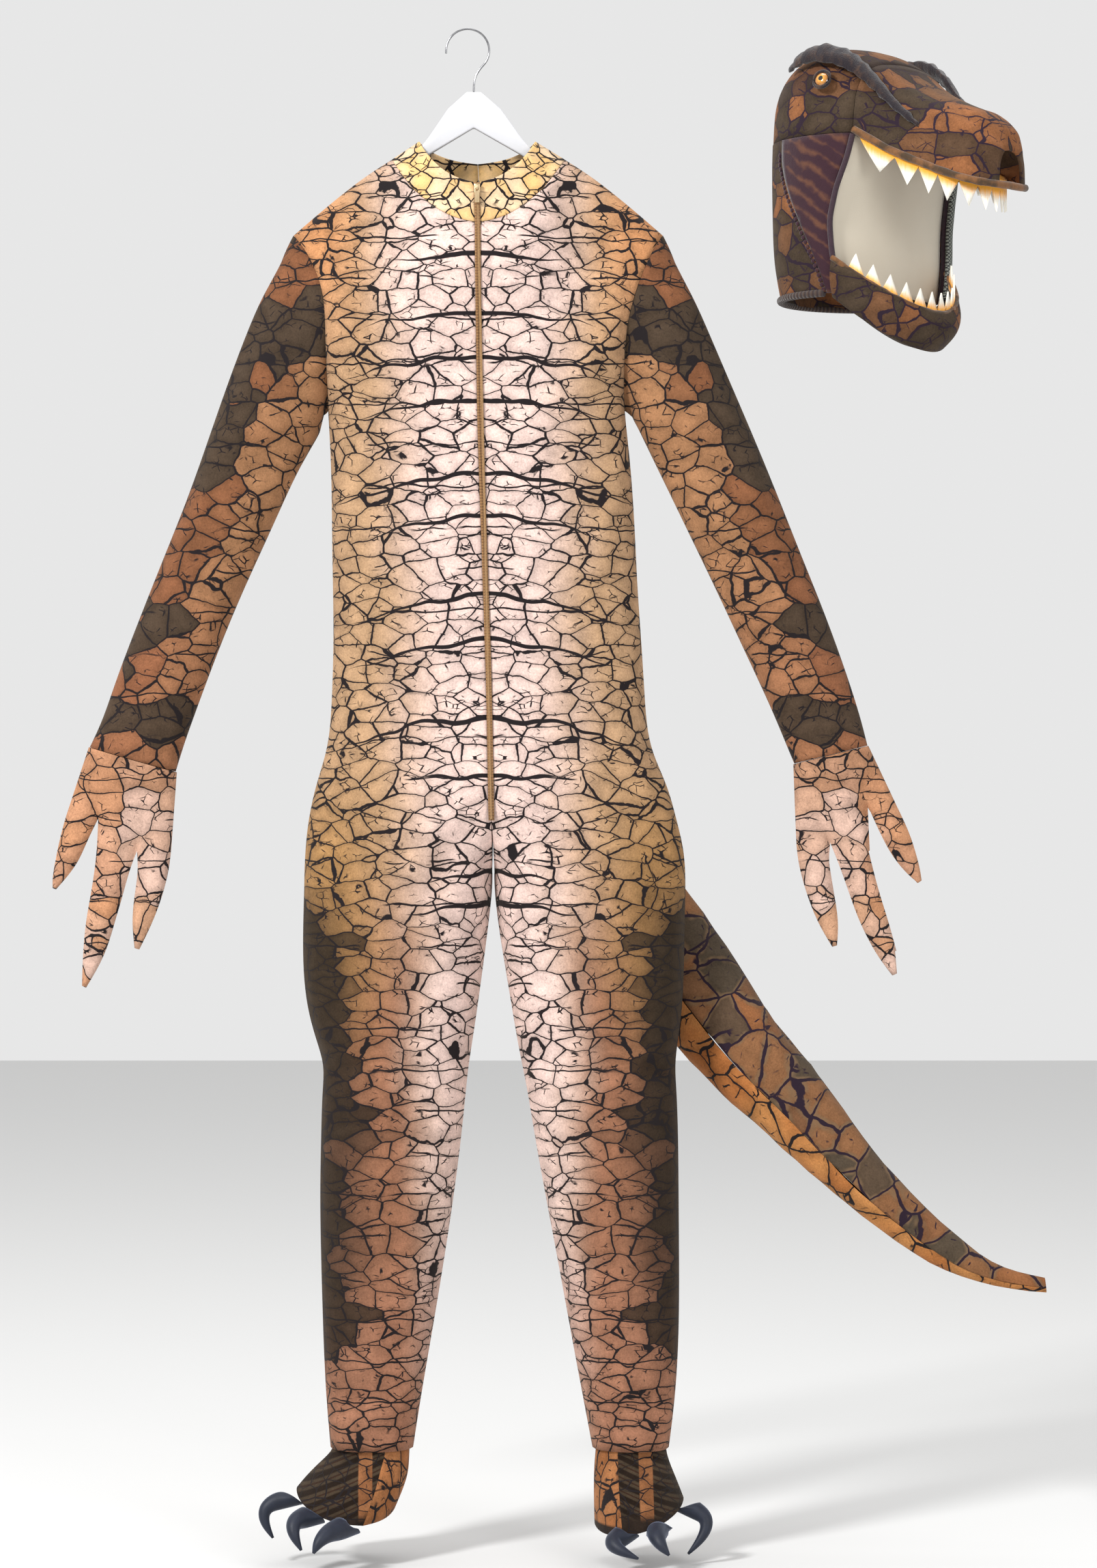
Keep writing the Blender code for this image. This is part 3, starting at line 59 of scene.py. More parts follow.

# The front of the suit: two long panels of printed velour, from the shoulder seam to the hem of each leg. They
# meet at the zip and then at the centre seam, and hang straight with soft folds at the hips and ankles. The
# print is a cracked reptile hide, mirrored about the zip, with a pale belly, tan sides and olive outer legs,
# and painted shade darkens the outer side of each leg.


class Finish:
    """A material, whose nodes are made by calling node()."""

    def __init__(self, name, **sockets):
        self.material = bpy.data.materials.new(name)
        self.material.use_nodes = True
        self.tree = self.material.node_tree
        self.shader = self.tree.nodes["Principled BSDF"]
        for socket, value in sockets.items():
            self.shader.inputs[socket.replace("_", " ")].default_value = value

    def node(self, kind, settings=(), values=(), out=0):
        made = self.tree.nodes.new("ShaderNode" + kind)
        for name, value in dict(settings).items():
            setattr(made, name, value)
        for key, value in dict(values).items():
            self.plug(made.inputs[key], value)
        return Reading(self, made.outputs[out])

    def plug(self, socket, value):
        if isinstance(value, Reading):
            self.tree.links.new(value.socket, socket)
        elif hasattr(value, "__len__") and len(value) == 3 and socket.type == "RGBA":
            socket.default_value = (*value, 1)
        else:
            socket.default_value = value

    def feed(self, **values):
        for name, value in values.items():
            self.plug(self.shader.inputs[name.replace("_", " ")], value)

    def place(self):
        return self.node("TexCoord", out="Object")

    def split(self, vector):
        whole = self.node("SeparateXYZ", values={0: vector})
        return [Reading(self, whole.socket.node.outputs[k]) for k in range(3)]

    def join(self, x, y, z):
        return self.node("CombineXYZ", values={0: x, 1: y, 2: z})

    def vector(self, operation, a, b):
        return self.node("VectorMath", {"operation": operation}, {0: a, 1: b})

    def grain(self, place, scale, detail=2.0, rough=0.5):
        """Smooth noise from 0 to 1, with its middle at 0.5."""
        return self.node("TexNoise", {}, {"Vector": place, "Scale": scale, "Detail": detail, "Roughness": rough})

    def wander(self, place, scale, reach, detail=2.0):
        """The place, moved about by noise, so that straight lines on it wander."""
        drift = self.node("TexNoise", {}, {"Vector": place, "Scale": scale, "Detail": detail}, out="Color")
        drift = self.vector("SUBTRACT", drift, (0.5, 0.5, 0.5))
        return self.vector("ADD", place, self.vector("MULTIPLY", drift, (reach, reach, reach)))

    def tint(self, first, second, share):
        """First colour where the share is 0 and second where it is 1."""
        return self.node("Mix", {"data_type": "RGBA"}, {0: share, 6: first, 7: second}, out=2)

    def darken(self, colour, share):
        """The colour multiplied by a number."""
        return self.node("VectorMath", {"operation": "SCALE"}, {0: colour, 3: share})

    def bump(self, height, depth, strength=1.0):
        return self.node("Bump", {}, {"Height": height, "Distance": depth, "Strength": strength})


class Reading:
    """What a node gives at each point. Arithmetic on it adds Math nodes."""

    def __init__(self, finish, socket):
        self.finish, self.socket = finish, socket

    def math(self, operation, *others):
        return self.finish.node("Math", {"operation": operation}, dict(enumerate((self, *others))))

    def __add__(self, other):
        return self.math("ADD", other)

    def __sub__(self, other):
        return self.math("SUBTRACT", other)

    def __rsub__(self, other):
        return self.math("MULTIPLY_ADD", -1.0, other)

    def __mul__(self, other):
        return self.math("MULTIPLY", other)

    def __truediv__(self, other):
        return self.math("DIVIDE", other)

    def __neg__(self):
        return self.math("MULTIPLY", -1.0)

    def __abs__(self):
        return self.math("ABSOLUTE")

    __radd__ = __add__
    __rmul__ = __mul__

    def least(self, other):
        return self.math("MINIMUM", other)

    def most(self, other):
        return self.math("MAXIMUM", other)

    def rise(self, low, high):
        """0 below low and 1 above high, or the other way round, with a smooth rise between."""
        settings = {"interpolation_type": "SMOOTHSTEP"}
        return self.finish.node("MapRange", settings, {0: self, 1: low, 2: high})


def midline(height):
    """The zip's x: the suit hangs a little askew, so it leans from the neck to the crotch."""
    return 0.0109 - 0.022 * (height + 0.140)


LINE_INK = (0.012, 0.009, 0.010)
TWIG_FINER = 2.3         # how many times finer than the cells the net of twigs is
RUNG_PITCH = 0.0235      # from one faint level line of the print to the next
DIAGONAL = 0.7071        # the head is turned by half a right angle
HEAD_ACROSS = 0.3642     # the head's middle, along the two diagonals
HEAD_ALONG = 0.2793
RIB_LINES = (        # heavy wavy lines across the belly: height and half width
    (-0.262, 0.095), (-0.327, 0.120), (-0.377, 0.145), (-0.425, 0.130), (-0.511, 0.165), (-0.559, 0.130),
    (-0.648, 0.150), (-0.700, 0.150), (-0.786, 0.170), (-0.846, 0.085), (-0.960, 0.070), (-0.995, 0.100),
)


def reptile_velour(name, paint, cell=0.034, flat=1.75, line=0.0010, twigs=0.5, rungs=0.8, ribs=(), edge=None,
                   mottle=0.40, mirrored="suit", turn=0.0, ink=LINE_INK):
    """Velour printed with a cracked hide. paint gives each cell its colour from the place of its middle."""
    cloth = Finish(name, Sheen_Weight=0.06, Sheen_Roughness=0.5, Sheen_Tint=(1.0, 0.85, 0.70, 1),
                   Specular_IOR_Level=0.10)
    place = cloth.place()
    x, y, z = cloth.split(place)
    if mirrored == "suit":
        x = abs(x - midline(z))
    if mirrored == "head":
        x, y = abs((x + y) * DIAGONAL - HEAD_ACROSS), (x - y) * DIAGONAL - HEAD_ALONG
    place = cloth.join(x, y * 0.8, z)
    if turn:
        place = cloth.node("Mapping", {"vector_type": "TEXTURE"}, {0: place, "Rotation": (0, turn, 0)})
    bent = cloth.wander(cloth.wander(place, 17, 0.019), 100, 0.0030)
    spread = (1 / cell, 1 / cell, flat / cell)
    hide = cloth.vector("MULTIPLY", bent, spread)
    gap = cloth.node("TexVoronoi", {"feature": "DISTANCE_TO_EDGE"}, {"Vector": hide, "Scale": 1.0}) * cell
    middle = cloth.node("TexVoronoi", {"feature": "F1"}, {"Vector": hide, "Scale": 1.0}, out="Position")
    own = cloth.node("TexVoronoi", {"feature": "F1"}, {"Vector": hide, "Scale": 1.0}, out="Color")
    own = cloth.split(own)[0]
    middle = cloth.vector("MULTIPLY", middle, (cell, cell, cell / flat))

    weight = cloth.grain(place, 34, 1.0).rise(0.30, 0.72) * 0.5 + 0.75
    marks = (gap / (weight * line)).rise(1.20, 0.85)
    fine = cloth.vector("MULTIPLY", cloth.wander(bent, 90, 0.0030), tuple(TWIG_FINER * s for s in spread))
    twig = cloth.node("TexVoronoi", {"feature": "DISTANCE_TO_EDGE"}, {"Vector": fine, "Scale": 1.0})
    twig = twig * (cell / TWIG_FINER)
    sprout = cloth.grain(place, 75, 1.0).rise(0.60 - twigs * 0.16, 0.72 - twigs * 0.16)
    marks = marks.most((twig / (line * 0.60)).rise(1.25, 0.8) * sprout)
    level = cloth.split(bent)[2]
    rung = (z + (level - z) * 0.5 + cloth.grain(place, 30, 1.0) * 0.012).math("PINGPONG", RUNG_PITCH)
    broken = cloth.grain(place, 13, 1.0).rise(0.55 - rungs * 0.14, 0.60 - rungs * 0.14)
    marks = marks.most((rung / (line * 0.9)).rise(1.25, 0.8) * broken)
    if ribs:
        sway = cloth.grain(cloth.vector("MULTIPLY", place, (1, 1, 0.30)), 17, 1.5) * 0.026 - 0.013
        arched = z + sway + x * x * 1.1
        nearest = None
        for height, half in ribs:
            off = abs(arched - height) + x * x * (0.0024 / half ** 2)
            nearest = off if nearest is None else nearest.least(off)
        marks = marks.most((nearest / (weight * 0.4 + 0.6)).rise(0.0029, 0.0023))

    ground = paint(cloth, middle, place, own)
    speck = cloth.grain(cloth.place(), 480, 3.0, 0.7)
    cloud = cloth.grain(cloth.place(), 42, 4.0, 0.65)
    rubbed = gap.rise(0.0, 0.009) * 0.24 + 0.80
    shade = (1.0 + (speck - 0.5) * (mottle * 2.6) + (cloud - 0.5) * (mottle * 2.4)) * rubbed
    ground = cloth.darken(ground, shade)
    if edge:
        beside = gap.rise(line * 4.2, line * 1.6)
        ground = cloth.tint(ground, edge, beside * cloth.grain(place, 60, 1.0).rise(0.35, 0.60) * 0.75)
    cloth.feed(Base_Color=cloth.tint(ground, ink, marks), Roughness=0.92 - marks * 0.10)
    nap = cloth.grain(cloth.place(), 1500, 2.0, 0.6)
    pile = cloth.grain(cloth.vector("MULTIPLY", cloth.place(), (1, 1, 0.25)), 420, 2.0)
    cloth.feed(Normal=cloth.bump(nap * 0.5 + pile * 0.5 - marks * 0.25, 0.0008, 0.55))
    return cloth.material


def hide_colours(cloth, cell, place, own):
    """The front's colours: pale belly, tan sides, orange shoulders, olive outer legs in patches of cells, and painted
    shade on the legs' outer sides.
    """
    across, _, height = cloth.split(cell)
    near, _, level = cloth.split(place)
    drift = cloth.grain(cell, 7, 2.0)
    low = -height
    side = (near + (drift - 0.5) * 0.10 - (level + 0.55).rise(0.0, 0.2) * 0.01).rise(0.040, 0.135)
    ground = cloth.tint((0.610, 0.455, 0.405), (0.370, 0.230, 0.130), side)
    shoulder = (near + (drift - 0.5) * 0.07).rise(0.10, 0.19) * height.rise(-0.42, -0.25)
    ground = cloth.tint(ground, (0.440, 0.190, 0.075), shoulder * 0.80)
    leg = low.rise(0.90, 1.15) * (near + (drift - 0.5) * 0.08).rise(0.060, 0.115)
    ground = cloth.tint(ground, (0.215, 0.090, 0.050), leg * 0.90)
    hip = low.rise(0.80, 0.95) * low.rise(1.22, 1.05) * near.rise(0.10, 0.18)
    ground = cloth.tint(ground, (0.280, 0.145, 0.045), hip * 0.75)
    ankle = low.rise(1.33, 1.50) * 0.55
    ground = cloth.tint(ground, (0.320, 0.150, 0.092), ankle)
    span = low.rise(0.94, 1.03) * low.rise(1.60, 1.40)
    outer = across.rise(0.090, 0.190) * span
    blotch = (cloth.grain(cell, 12, 1.0) - 0.5) * 2.0
    patch = (outer + (own - 0.5) * 0.30 + blotch * outer.rise(0.0, 0.2)).rise(0.62, 0.68)
    # Painted shade blended with the olive print: a smooth darkening towards the outer side of each leg, where the
    # cloth turns from the light.
    outer_shade_and_olive = (near + (drift - 0.5) * 0.07).rise(0.125, 0.195) * span
    ground = cloth.tint(ground, (0.024, 0.016, 0.011), outer_shade_and_olive * 0.75)
    return cloth.tint(ground, (0.024, 0.017, 0.011), patch * 0.88)


def stand(name, bm):
    """A new object in the scene from a finished bmesh."""
    mesh = bpy.data.meshes.new(name)
    bm.to_mesh(mesh)
    bm.free()
    made = bpy.data.objects.new(name, mesh)
    bpy.context.scene.collection.objects.link(made)
    return made


def cloth_from(node, levels=2):
    """A smooth, closed copy of a sewn piece's solid, its rims kept sharp and its faces turned to quads."""
    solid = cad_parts[node]
    bm = bmesh.new()
    bm.from_mesh(solid.data)
    bmesh.ops.remove_doubles(bm, verts=bm.verts, dist=0.00002)
    bmesh.ops.join_triangles(bm, faces=bm.faces, angle_face_threshold=radians(50),
                             angle_shape_threshold=radians(70), cmp_seam=False, cmp_sharp=False, cmp_uvs=False,
                             cmp_vcols=False, cmp_materials=False)
    crease = bm.edges.layers.float.new("crease_edge")
    for edge in bm.edges:
        if len(edge.link_faces) == 2 and edge.calc_face_angle(0) > radians(50):
            edge[crease] = 1.0
    piece = stand(node + "_cloth", bm)
    finer = piece.modifiers.new("finer", "SUBSURF")
    finer.levels = finer.render_levels = levels
    shown = piece.evaluated_get(bpy.context.evaluated_depsgraph_get())
    fine = bpy.data.meshes.new_from_object(shown)
    piece.modifiers.clear()
    piece.data = fine
    fine.shade_smooth()
    fine.set_sharp_from_angle(angle=radians(50))
    return piece


def fold_table(*rows):
    """Soft ridges, and troughs where the depth is below 0, as seen from the front. A row gives millimetres: the
    start's x and z, the end's x and z, the width and the depth. A last number 1 puts the fold on the back."""
    table = []
    for x1, z1, x2, z2, wide, deep, *back in rows:
        ends = np.array(((x1, z1), (x2, z2))) / 1000
        table.append((ends[0], ends[1], wide / 1000, deep / 1000, 1 if back else -1))
    return table


FOLD_GAIN = 1.9          # folds and unevenness are this much deeper than their rows and ripples say
RIPPLE_GAIN = 2.6
ZIP_FOOT = -0.88         # above this level the front lies smooth beside the zip,
ZIP_SMOOTH = 0.010       # this far from the midline,
ZIP_FADE = 0.035         # and takes this much more to fold in full


def press(piece, folds, ripple=0.0008):
    """Moves both faces of a wall of cloth by its folds and by a slight unevenness; its side seams stay put."""
    count = len(piece.data.vertices)
    places = np.empty(count * 3)
    piece.data.vertices.foreach_get("co", places)
    places = places.reshape(-1, 3)
    flat, depth = places[:, [0, 2]], places[:, 1]
    free = np.clip((np.abs(depth) - 0.001) / 0.022, 0, 1)
    free = free * free * (3 - 2 * free)
    middle = np.abs(flat[:, 0] - midline(flat[:, 1]))
    closed = (flat[:, 1] > ZIP_FOOT) & (depth < 0)
    free *= np.where(closed, np.clip((middle - ZIP_SMOOTH) / ZIP_FADE, 0, 1) ** 2, 1)
    facing = np.where(depth < 0, -1, 1)
    move = np.zeros(count)
    for start, end, wide, deep, face in folds:
        run = end - start
        share = np.clip(((flat - start) @ run) / (run @ run), 0, 1)
        apart = np.linalg.norm(flat - start - share[:, None] * run, axis=1)
        taper = 1 - 0.55 * np.abs(2 * share - 1) ** 2
        move += np.exp(-(apart / wide) ** 2) * deep * FOLD_GAIN * taper * (facing == face)
    for k, (x, y, z) in enumerate(places):
        swell = noise.noise(Vector((x * 9, y * 5, z * 6))) + 0.55 * noise.noise(Vector((x * 26, y * 10, z * 15)))
        move[k] += ripple * swell * RIPPLE_GAIN
    places[:, 1] += facing * move * free
    piece.data.vertices.foreach_set("co", places.ravel())
    piece.data.update()


def clad(piece, node, material):
    """The piece gets its material and takes its solid's place."""
    piece.data.materials.clear()
    piece.data.materials.append(material)
    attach(piece, "root")
    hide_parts(node)


def dress(piece, node, material):
    """The same as clad, for a sheet of cloth."""
    clad(piece, node, material)


belly_velour = reptile_velour("belly velour", hide_colours, ribs=RIB_LINES)
FRONT_FOLDS = fold_table(
    (115, -760, 190, -860, 12, -3.5), (135, -745, 205, -845, 11, 3.5), (60, -880, 150, -965, 13, -4),
    (85, -870, 175, -955, 12, 4.2), (45, -935, 120, -1010, 12, 3.6), (150, -900, 225, -985, 14, 4.5),
    (165, -985, 235, -1045, 13, -4), (10, -900, -45, -985, 12, -3.2), (-20, -890, -75, -975, 12, 3.4),
    (-150, -850, -85, -955, 14, 3.8), (-165, -900, -105, -1010, 14, -3.6), (-120, -1000, -60, -1080, 13, 3),
    (-150, -240, -60, -330, 16, -3), (175, -240, 80, -330, 16, -3), (-150, -350, -85, -420, 13, 3),
    (165, -350, 110, -430, 13, 3.2), (-148, -520, -110, -640, 12, 2.2), (175, -500, 140, -640, 12, 2.4),
    (-145, -700, -100, -770, 13, -2.4), (20, -330, 24, -560, 14, 1.6), (-150, -1150, -80, -1215, 11, 3.6),
    (-160, -1190, -100, -1165, 10, -3.4), (-155, -1225, -60, -1265, 11, -2.6), (225, -1150, 150, -1215, 11, 3.6),
    (230, -1190, 160, -1170, 10, -3.4), (225, -1240, 130, -1290, 11, 2.8), (-145, -1340, -110, -1470, 12, 2.6),
    (-75, -1300, -85, -1440, 11, -2.4), (205, -1330, 190, -1470, 12, 2.6), (130, -1310, 155, -1440, 11, -2.4),
    (-150, -1520, -75, -1555, 10, 3.8), (-145, -1560, -70, -1535, 9, -3.6), (-150, -1585, -85, -1575, 8, 3),
    (228, -1520, 150, -1550, 10, 3.8), (222, -1560, 150, -1580, 9, -3.6), (225, -1590, 160, -1592, 8, 2.8),
    (-110, -1470, -95, -1560, 10, 2.4), (185, -1480, 180, -1570, 10, 2.6),
)
for node, flat, area in (("front_left", (0.262, 1.40), 0.298), ("front_right", (0.262, 1.40), 0.297)):
    panel = cloth_from(node)
    press(panel, FRONT_FOLDS)
    dress(panel, node, belly_velour)

# The back of the suit: two panels of the same velour, joined down the middle and sewn to the fronts at the
# sides and along the inner legs. Its print is darker, olive and brown in patches, with tan beside the seams.


def back_colours(cloth, cell, place, own):
    across, _, height = cloth.split(cell)
    patches = cloth.grain(cell, 8.5, 2.0)
    ground = cloth.tint((0.170, 0.075, 0.032), (0.050, 0.036, 0.021), (patches + (own - 0.5) * 0.35).rise(0.42, 0.52))
    flank = across.rise(0.10, 0.17) * (own * 0.6 + patches).rise(0.60, 0.75)
    ground = cloth.tint(ground, (0.250, 0.105, 0.040), flank * 0.8)
    inner = height.rise(-0.97, -1.10) * across.rise(0.085, 0.055)
    return cloth.tint(ground, (0.420, 0.215, 0.055), inner)


back_velour = reptile_velour("back velour", back_colours, cell=0.044, line=0.0010, edge=(0.26, 0.16, 0.08),
                             ink=(0.020, 0.012, 0.020))
BACK_FOLDS = fold_table(
    (-120, -250, -30, -380, 18, -3.5, 1), (145, -250, 60, -380, 18, -3.5, 1), (-140, -420, -60, -520, 16, 3.6, 1),
    (165, -420, 90, -520, 16, 3.6, 1), (-110, -640, 0, -700, 16, 3.4, 1), (140, -650, 40, -705, 15, -3.2, 1),
    (-100, -700, 10, -745, 15, -3.4, 1), (30, -760, 35, -900, 18, 3, 1), (-60, -900, -110, -1010, 15, 3.8, 1),
    (120, -1000, 180, -1080, 15, 3.8, 1), (-100, -900, -150, -1000, 14, -3.4, 1),
    (80, -1020, 140, -1120, 14, -3.4, 1), (-150, -1180, -60, -1210, 12, 4, 1),
    (-145, -1220, -50, -1240, 12, -3.6, 1), (220, -1180, 120, -1215, 12, 4, 1),
    (225, -1225, 130, -1240, 12, -3.6, 1), (-120, -1320, -110, -1480, 14, 2.8, 1),
    (190, -1320, 180, -1480, 14, 2.8, 1), (-150, -1545, -80, -1560, 10, 3.6, 1),
    (225, -1545, 150, -1560, 10, 3.6, 1), (-150, -1585, -80, -1580, 9, -3, 1), (225, -1585, 150, -1580, 9, -3, 1),
)
for node, flat, area in (("back_left", (0.262, 1.42), 0.302), ("back_right", (0.262, 1.42), 0.300)):
    panel = cloth_from(node)
    press(panel, BACK_FOLDS)
    dress(panel, node, back_velour)

# The sleeves: one tube of velour each, sewn into the armhole and hanging straight out and down to the glove.
# The print is orange-brown with olive bands, and the cloth drops in slack folds at the inner elbow.


def sleeve_colours(cloth, cell, place, own):
    across, _, height = cloth.split(cell)
    outer = (across + (height + 0.30) * 0.43).rise(0.150, 0.215)
    drift = cloth.grain(cell, 9, 2.0)
    ground = cloth.tint((0.290, 0.145, 0.070), (0.165, 0.066, 0.030), (outer * 0.6 + drift).rise(0.45, 0.95))
    ground = cloth.tint(ground, (0.250, 0.100, 0.050), height.rise(-0.55, -0.80) * 0.6)
    upper = abs(height + 0.352 + (across - 0.22) * 0.25).rise(0.060, 0.025)
    second = abs(height + 0.445 + (across - 0.25) * 0.5).rise(0.060, 0.030) * outer.rise(0.20, 0.60)
    third = abs(height + 0.690 + (across - 0.38) * 0.3).rise(0.045, 0.020) * outer.rise(0.30, 0.70)
    low = abs(height + 0.790).rise(0.035, 0.012) * 0.8
    bands = upper.most(second).most(third).most(low)
    edge = outer.rise(0.55, 1.0) * 0.45
    patch = (bands.most(edge) * 0.8 + (own - 0.5) * 0.22 + (cloth.grain(cell, 17, 1.0) - 0.5) * 0.9).rise(0.44, 0.48)
    return cloth.tint(ground, (0.042, 0.031, 0.021), patch * 0.93)


sleeve_velour = reptile_velour("sleeve velour", sleeve_colours, cell=0.034, flat=1.35)
SLEEVE_FOLDS = fold_table(
    (-205, -455, -262, -470, 10, 4), (-215, -500, -285, -500, 11, -3.8), (-235, -560, -305, -540, 12, 3.6),
    (-255, -605, -335, -580, 11, -3.4), (-285, -680, -350, -640, 11, 3.4), (-325, -750, -395, -720, 10, 3.4),
    (-330, -780, -410, -765, 9, -3.2), (-260, -420, -330, -620, 14, 2.6), (-230, -330, -290, -430, 14, -3),
    (225, -455, 285, -470, 10, 4), (235, -500, 305, -500, 11, -3.8), (258, -560, 330, -540, 12, 3.6),
    (290, -615, 360, -590, 11, -3.4), (318, -685, 385, -650, 11, 3.4), (350, -750, 425, -725, 10, 3.4),
    (365, -785, 445, -765, 9, -3.2), (290, -420, 365, -620, 14, 2.6), (255, -330, 315, -430, 14, -3),
    (-215, -480, -290, -500, 12, 4, 1), (-250, -590, -330, -590, 12, -3.6, 1), (-300, -700, -380, -700, 11, 3.4, 1),
    (235, -480, 310, -500, 12, 4, 1), (275, -590, 350, -590, 12, -3.6, 1), (330, -700, 410, -700, 11, 3.4, 1),
)
for node, flat, area in (("sleeve_left", (0.36, 0.60), 0.158), ("sleeve_right", (0.36, 0.60), 0.160)):
    sleeve = cloth_from(node)
    press(sleeve, SLEEVE_FOLDS)
    dress(sleeve, node, sleeve_velour)

# The stand collar: two short bands of yellow-tan velour, sewn to the neckline and parted by the zip. The same
# cracked lines run over them, with a heavy one along the fold at the top.


def collar_colours(cloth, cell, place, own):
    drift = cloth.grain(place, 22, 2.0)
    return cloth.tint((0.700, 0.440, 0.180), (0.720, 0.520, 0.330), (drift + (own - 0.5) * 0.4).rise(0.35, 0.65))


collar_velour = reptile_velour("collar velour", collar_colours, cell=0.026, flat=1.3, line=0.0009, rungs=1.0,
                               mottle=0.22)
for node in ("collar_left", "collar_right"):
    collar = cloth_from(node)
    dress(collar, node, collar_velour)

# The zip: two woven tapes sewn inside the front edges, a moulded coil between them, and a small metal slider
# whose pull tab hangs from its bail.
zip_tape = Finish("zip tape", Roughness=0.85, Sheen_Weight=0.15, Specular_IOR_Level=0.2)
x, _, z = zip_tape.split(zip_tape.place())
weave = (z * 1900.0).math("SINE") * 0.5 + 0.5
weave = weave * ((x * 2600.0).math("SINE") * 0.35 + 0.65)
zip_tape.feed(Base_Color=zip_tape.tint((0.150, 0.075, 0.032), (0.330, 0.180, 0.075), weave),
              Normal=zip_tape.bump(weave, 0.0004, 0.7))
for node in ("zip_tape_left", "zip_tape_right"):
    clad(cloth_from(node, levels=1), node, zip_tape.material)

TOOTH_PITCH = 0.0016
TOOTH_SIZE = (0.0021, 0.0011, 0.00085)
tape_front = {}
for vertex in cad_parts["zip_tape_left"].data.vertices:
    level = round(vertex.co.z, 3)
    tape_front[level] = min(tape_front.get(level, 0), vertex.co.y)
levels = sorted(tape_front)
bm = bmesh.new()
height, count = levels[0] + 0.002, 0
while height < levels[-1] - 0.002:
    front = float(np.interp(height, levels, [tape_front[level] for level in levels]))
    hand = 1 if count % 2 else -1
    made = bmesh.ops.create_cube(bm, size=1.0)["verts"]
    bmesh.ops.scale(bm, vec=TOOTH_SIZE, verts=made)
    bmesh.ops.rotate(bm, matrix=Matrix.Rotation(hand * 0.30, 3, "Y"), verts=made)
    bmesh.ops.translate(bm, vec=(midline(height) + hand * 0.00055, front - 0.0002, height), verts=made)
    height += TOOTH_PITCH / 2
    count += 1
coil = stand("zip_coil", bm)
zip_nylon = Finish("zip coil", Roughness=0.35, Specular_IOR_Level=0.45)
shade = zip_nylon.grain(zip_nylon.place(), 700, 1.0)
zip_nylon.feed(Base_Color=zip_nylon.tint((0.200, 0.105, 0.042), (0.420, 0.250, 0.110), shade))
coil.data.materials.append(zip_nylon.material)
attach(coil, "root")

zip_brass = Finish("zip metal", Metallic=1.0)
scuff = zip_brass.grain(zip_brass.place(), 900, 3.0, 0.7)
zip_brass.feed(Base_Color=zip_brass.tint((0.520, 0.360, 0.190), (0.760, 0.600, 0.380), scuff),
               Roughness=scuff * 0.25 + 0.22, Normal=zip_brass.bump(scuff, 0.0001, 0.4))


def hard_copy(node, body, material, bevel=0.0002, segments=2, angle=35):
    """A copy of a hard part with its edges rounded."""
    bm = bmesh.new()
    bm.from_mesh(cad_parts[node].data)
    bmesh.ops.remove_doubles(bm, verts=bm.verts, dist=0.000005)
    bmesh.ops.dissolve_limit(bm, angle_limit=radians(3), verts=bm.verts, edges=bm.edges)
    sharp = [edge for edge in bm.edges if edge.calc_face_angle(0) > radians(angle)]
    bmesh.ops.bevel(bm, geom=sharp, offset=bevel, offset_type="OFFSET", affect="EDGES", segments=segments,
                    profile=0.5, material=-1, clamp_overlap=True)
    copy = stand(node + "_finished", bm)
    copy.data.shade_smooth()
    copy.data.set_sharp_from_angle(angle=radians(40))
    copy.data.materials.append(material)
    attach(copy, body)
    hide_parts(node)
    return copy


hard_copy("zip_slider", "root", zip_brass.material)
hard_copy("zip_tab", "zip_pull", zip_brass.material)

# The hanger: one flat moulding in white plastic, with rounded edges, and a plated wire hook pressed into its neck.
hanger_plastic = Finish("hanger plastic", Roughness=0.3, Specular_IOR_Level=0.5)
wash = hanger_plastic.grain(hanger_plastic.place(), 30, 2.0)
fine = hanger_plastic.grain(hanger_plastic.place(), 900, 2.0)
hanger_plastic.feed(Base_Color=hanger_plastic.tint((0.60, 0.60, 0.62), (0.54, 0.545, 0.565), wash),
                    Roughness=wash * 0.12 + 0.26, Normal=hanger_plastic.bump(fine, 0.0001, 0.25))
hard_copy("hanger_body", "root", hanger_plastic.material, bevel=0.0022, segments=3, angle=50)

hook_wire = Finish("hook wire", Metallic=1.0)
drawn = hook_wire.grain(hook_wire.place(), 260, 2.0)
hook_wire.feed(Base_Color=hook_wire.tint((0.20, 0.20, 0.21), (0.34, 0.34, 0.35), drawn), Roughness=drawn * 0.2 + 0.16)
hook = hard_copy("hanger_hook", "root", hook_wire.material, bevel=0.0004, segments=2, angle=60)
rounder = hook.modifiers.new("rounder", "SUBSURF")
rounder.levels = rounder.render_levels = 2

# The gloves: a palm and a back of velour sewn round each hand, with three pointed fingers. The palm is pale
# and turned to the front; its outer fingers and the whole back are orange-brown with the sleeve's print.


def palm_colours(cloth, cell, place, own):
    across, _, height = cloth.split(cell)
    drift = cloth.grain(cell, 11, 2.0)
    ground = cloth.tint((0.520, 0.350, 0.280), (0.480, 0.270, 0.165), (drift + own * 0.3).rise(0.45, 0.85))
    slant = (across - 0.405) + (height + 0.93) * 0.30
    outer = (slant + (own - 0.5) * 0.03).rise(0.010, 0.040)
    ground = cloth.tint(ground, (0.420, 0.180, 0.075), outer * 0.60)
    wrist = height.rise(-0.885, -0.850) * 0.5
    return cloth.tint(ground, (0.330, 0.150, 0.070), wrist)


def glove_back_colours(cloth, cell, place, own):
    drift = cloth.grain(cell, 13, 2.0)
    ground = cloth.tint((0.290, 0.115, 0.038), (0.190, 0.075, 0.034), (drift + own * 0.3).rise(0.45, 0.85))
    return cloth.tint(ground, (0.044, 0.033, 0.022), (drift * 0.8 + own * 0.4).rise(0.66, 0.70) * 0.9)


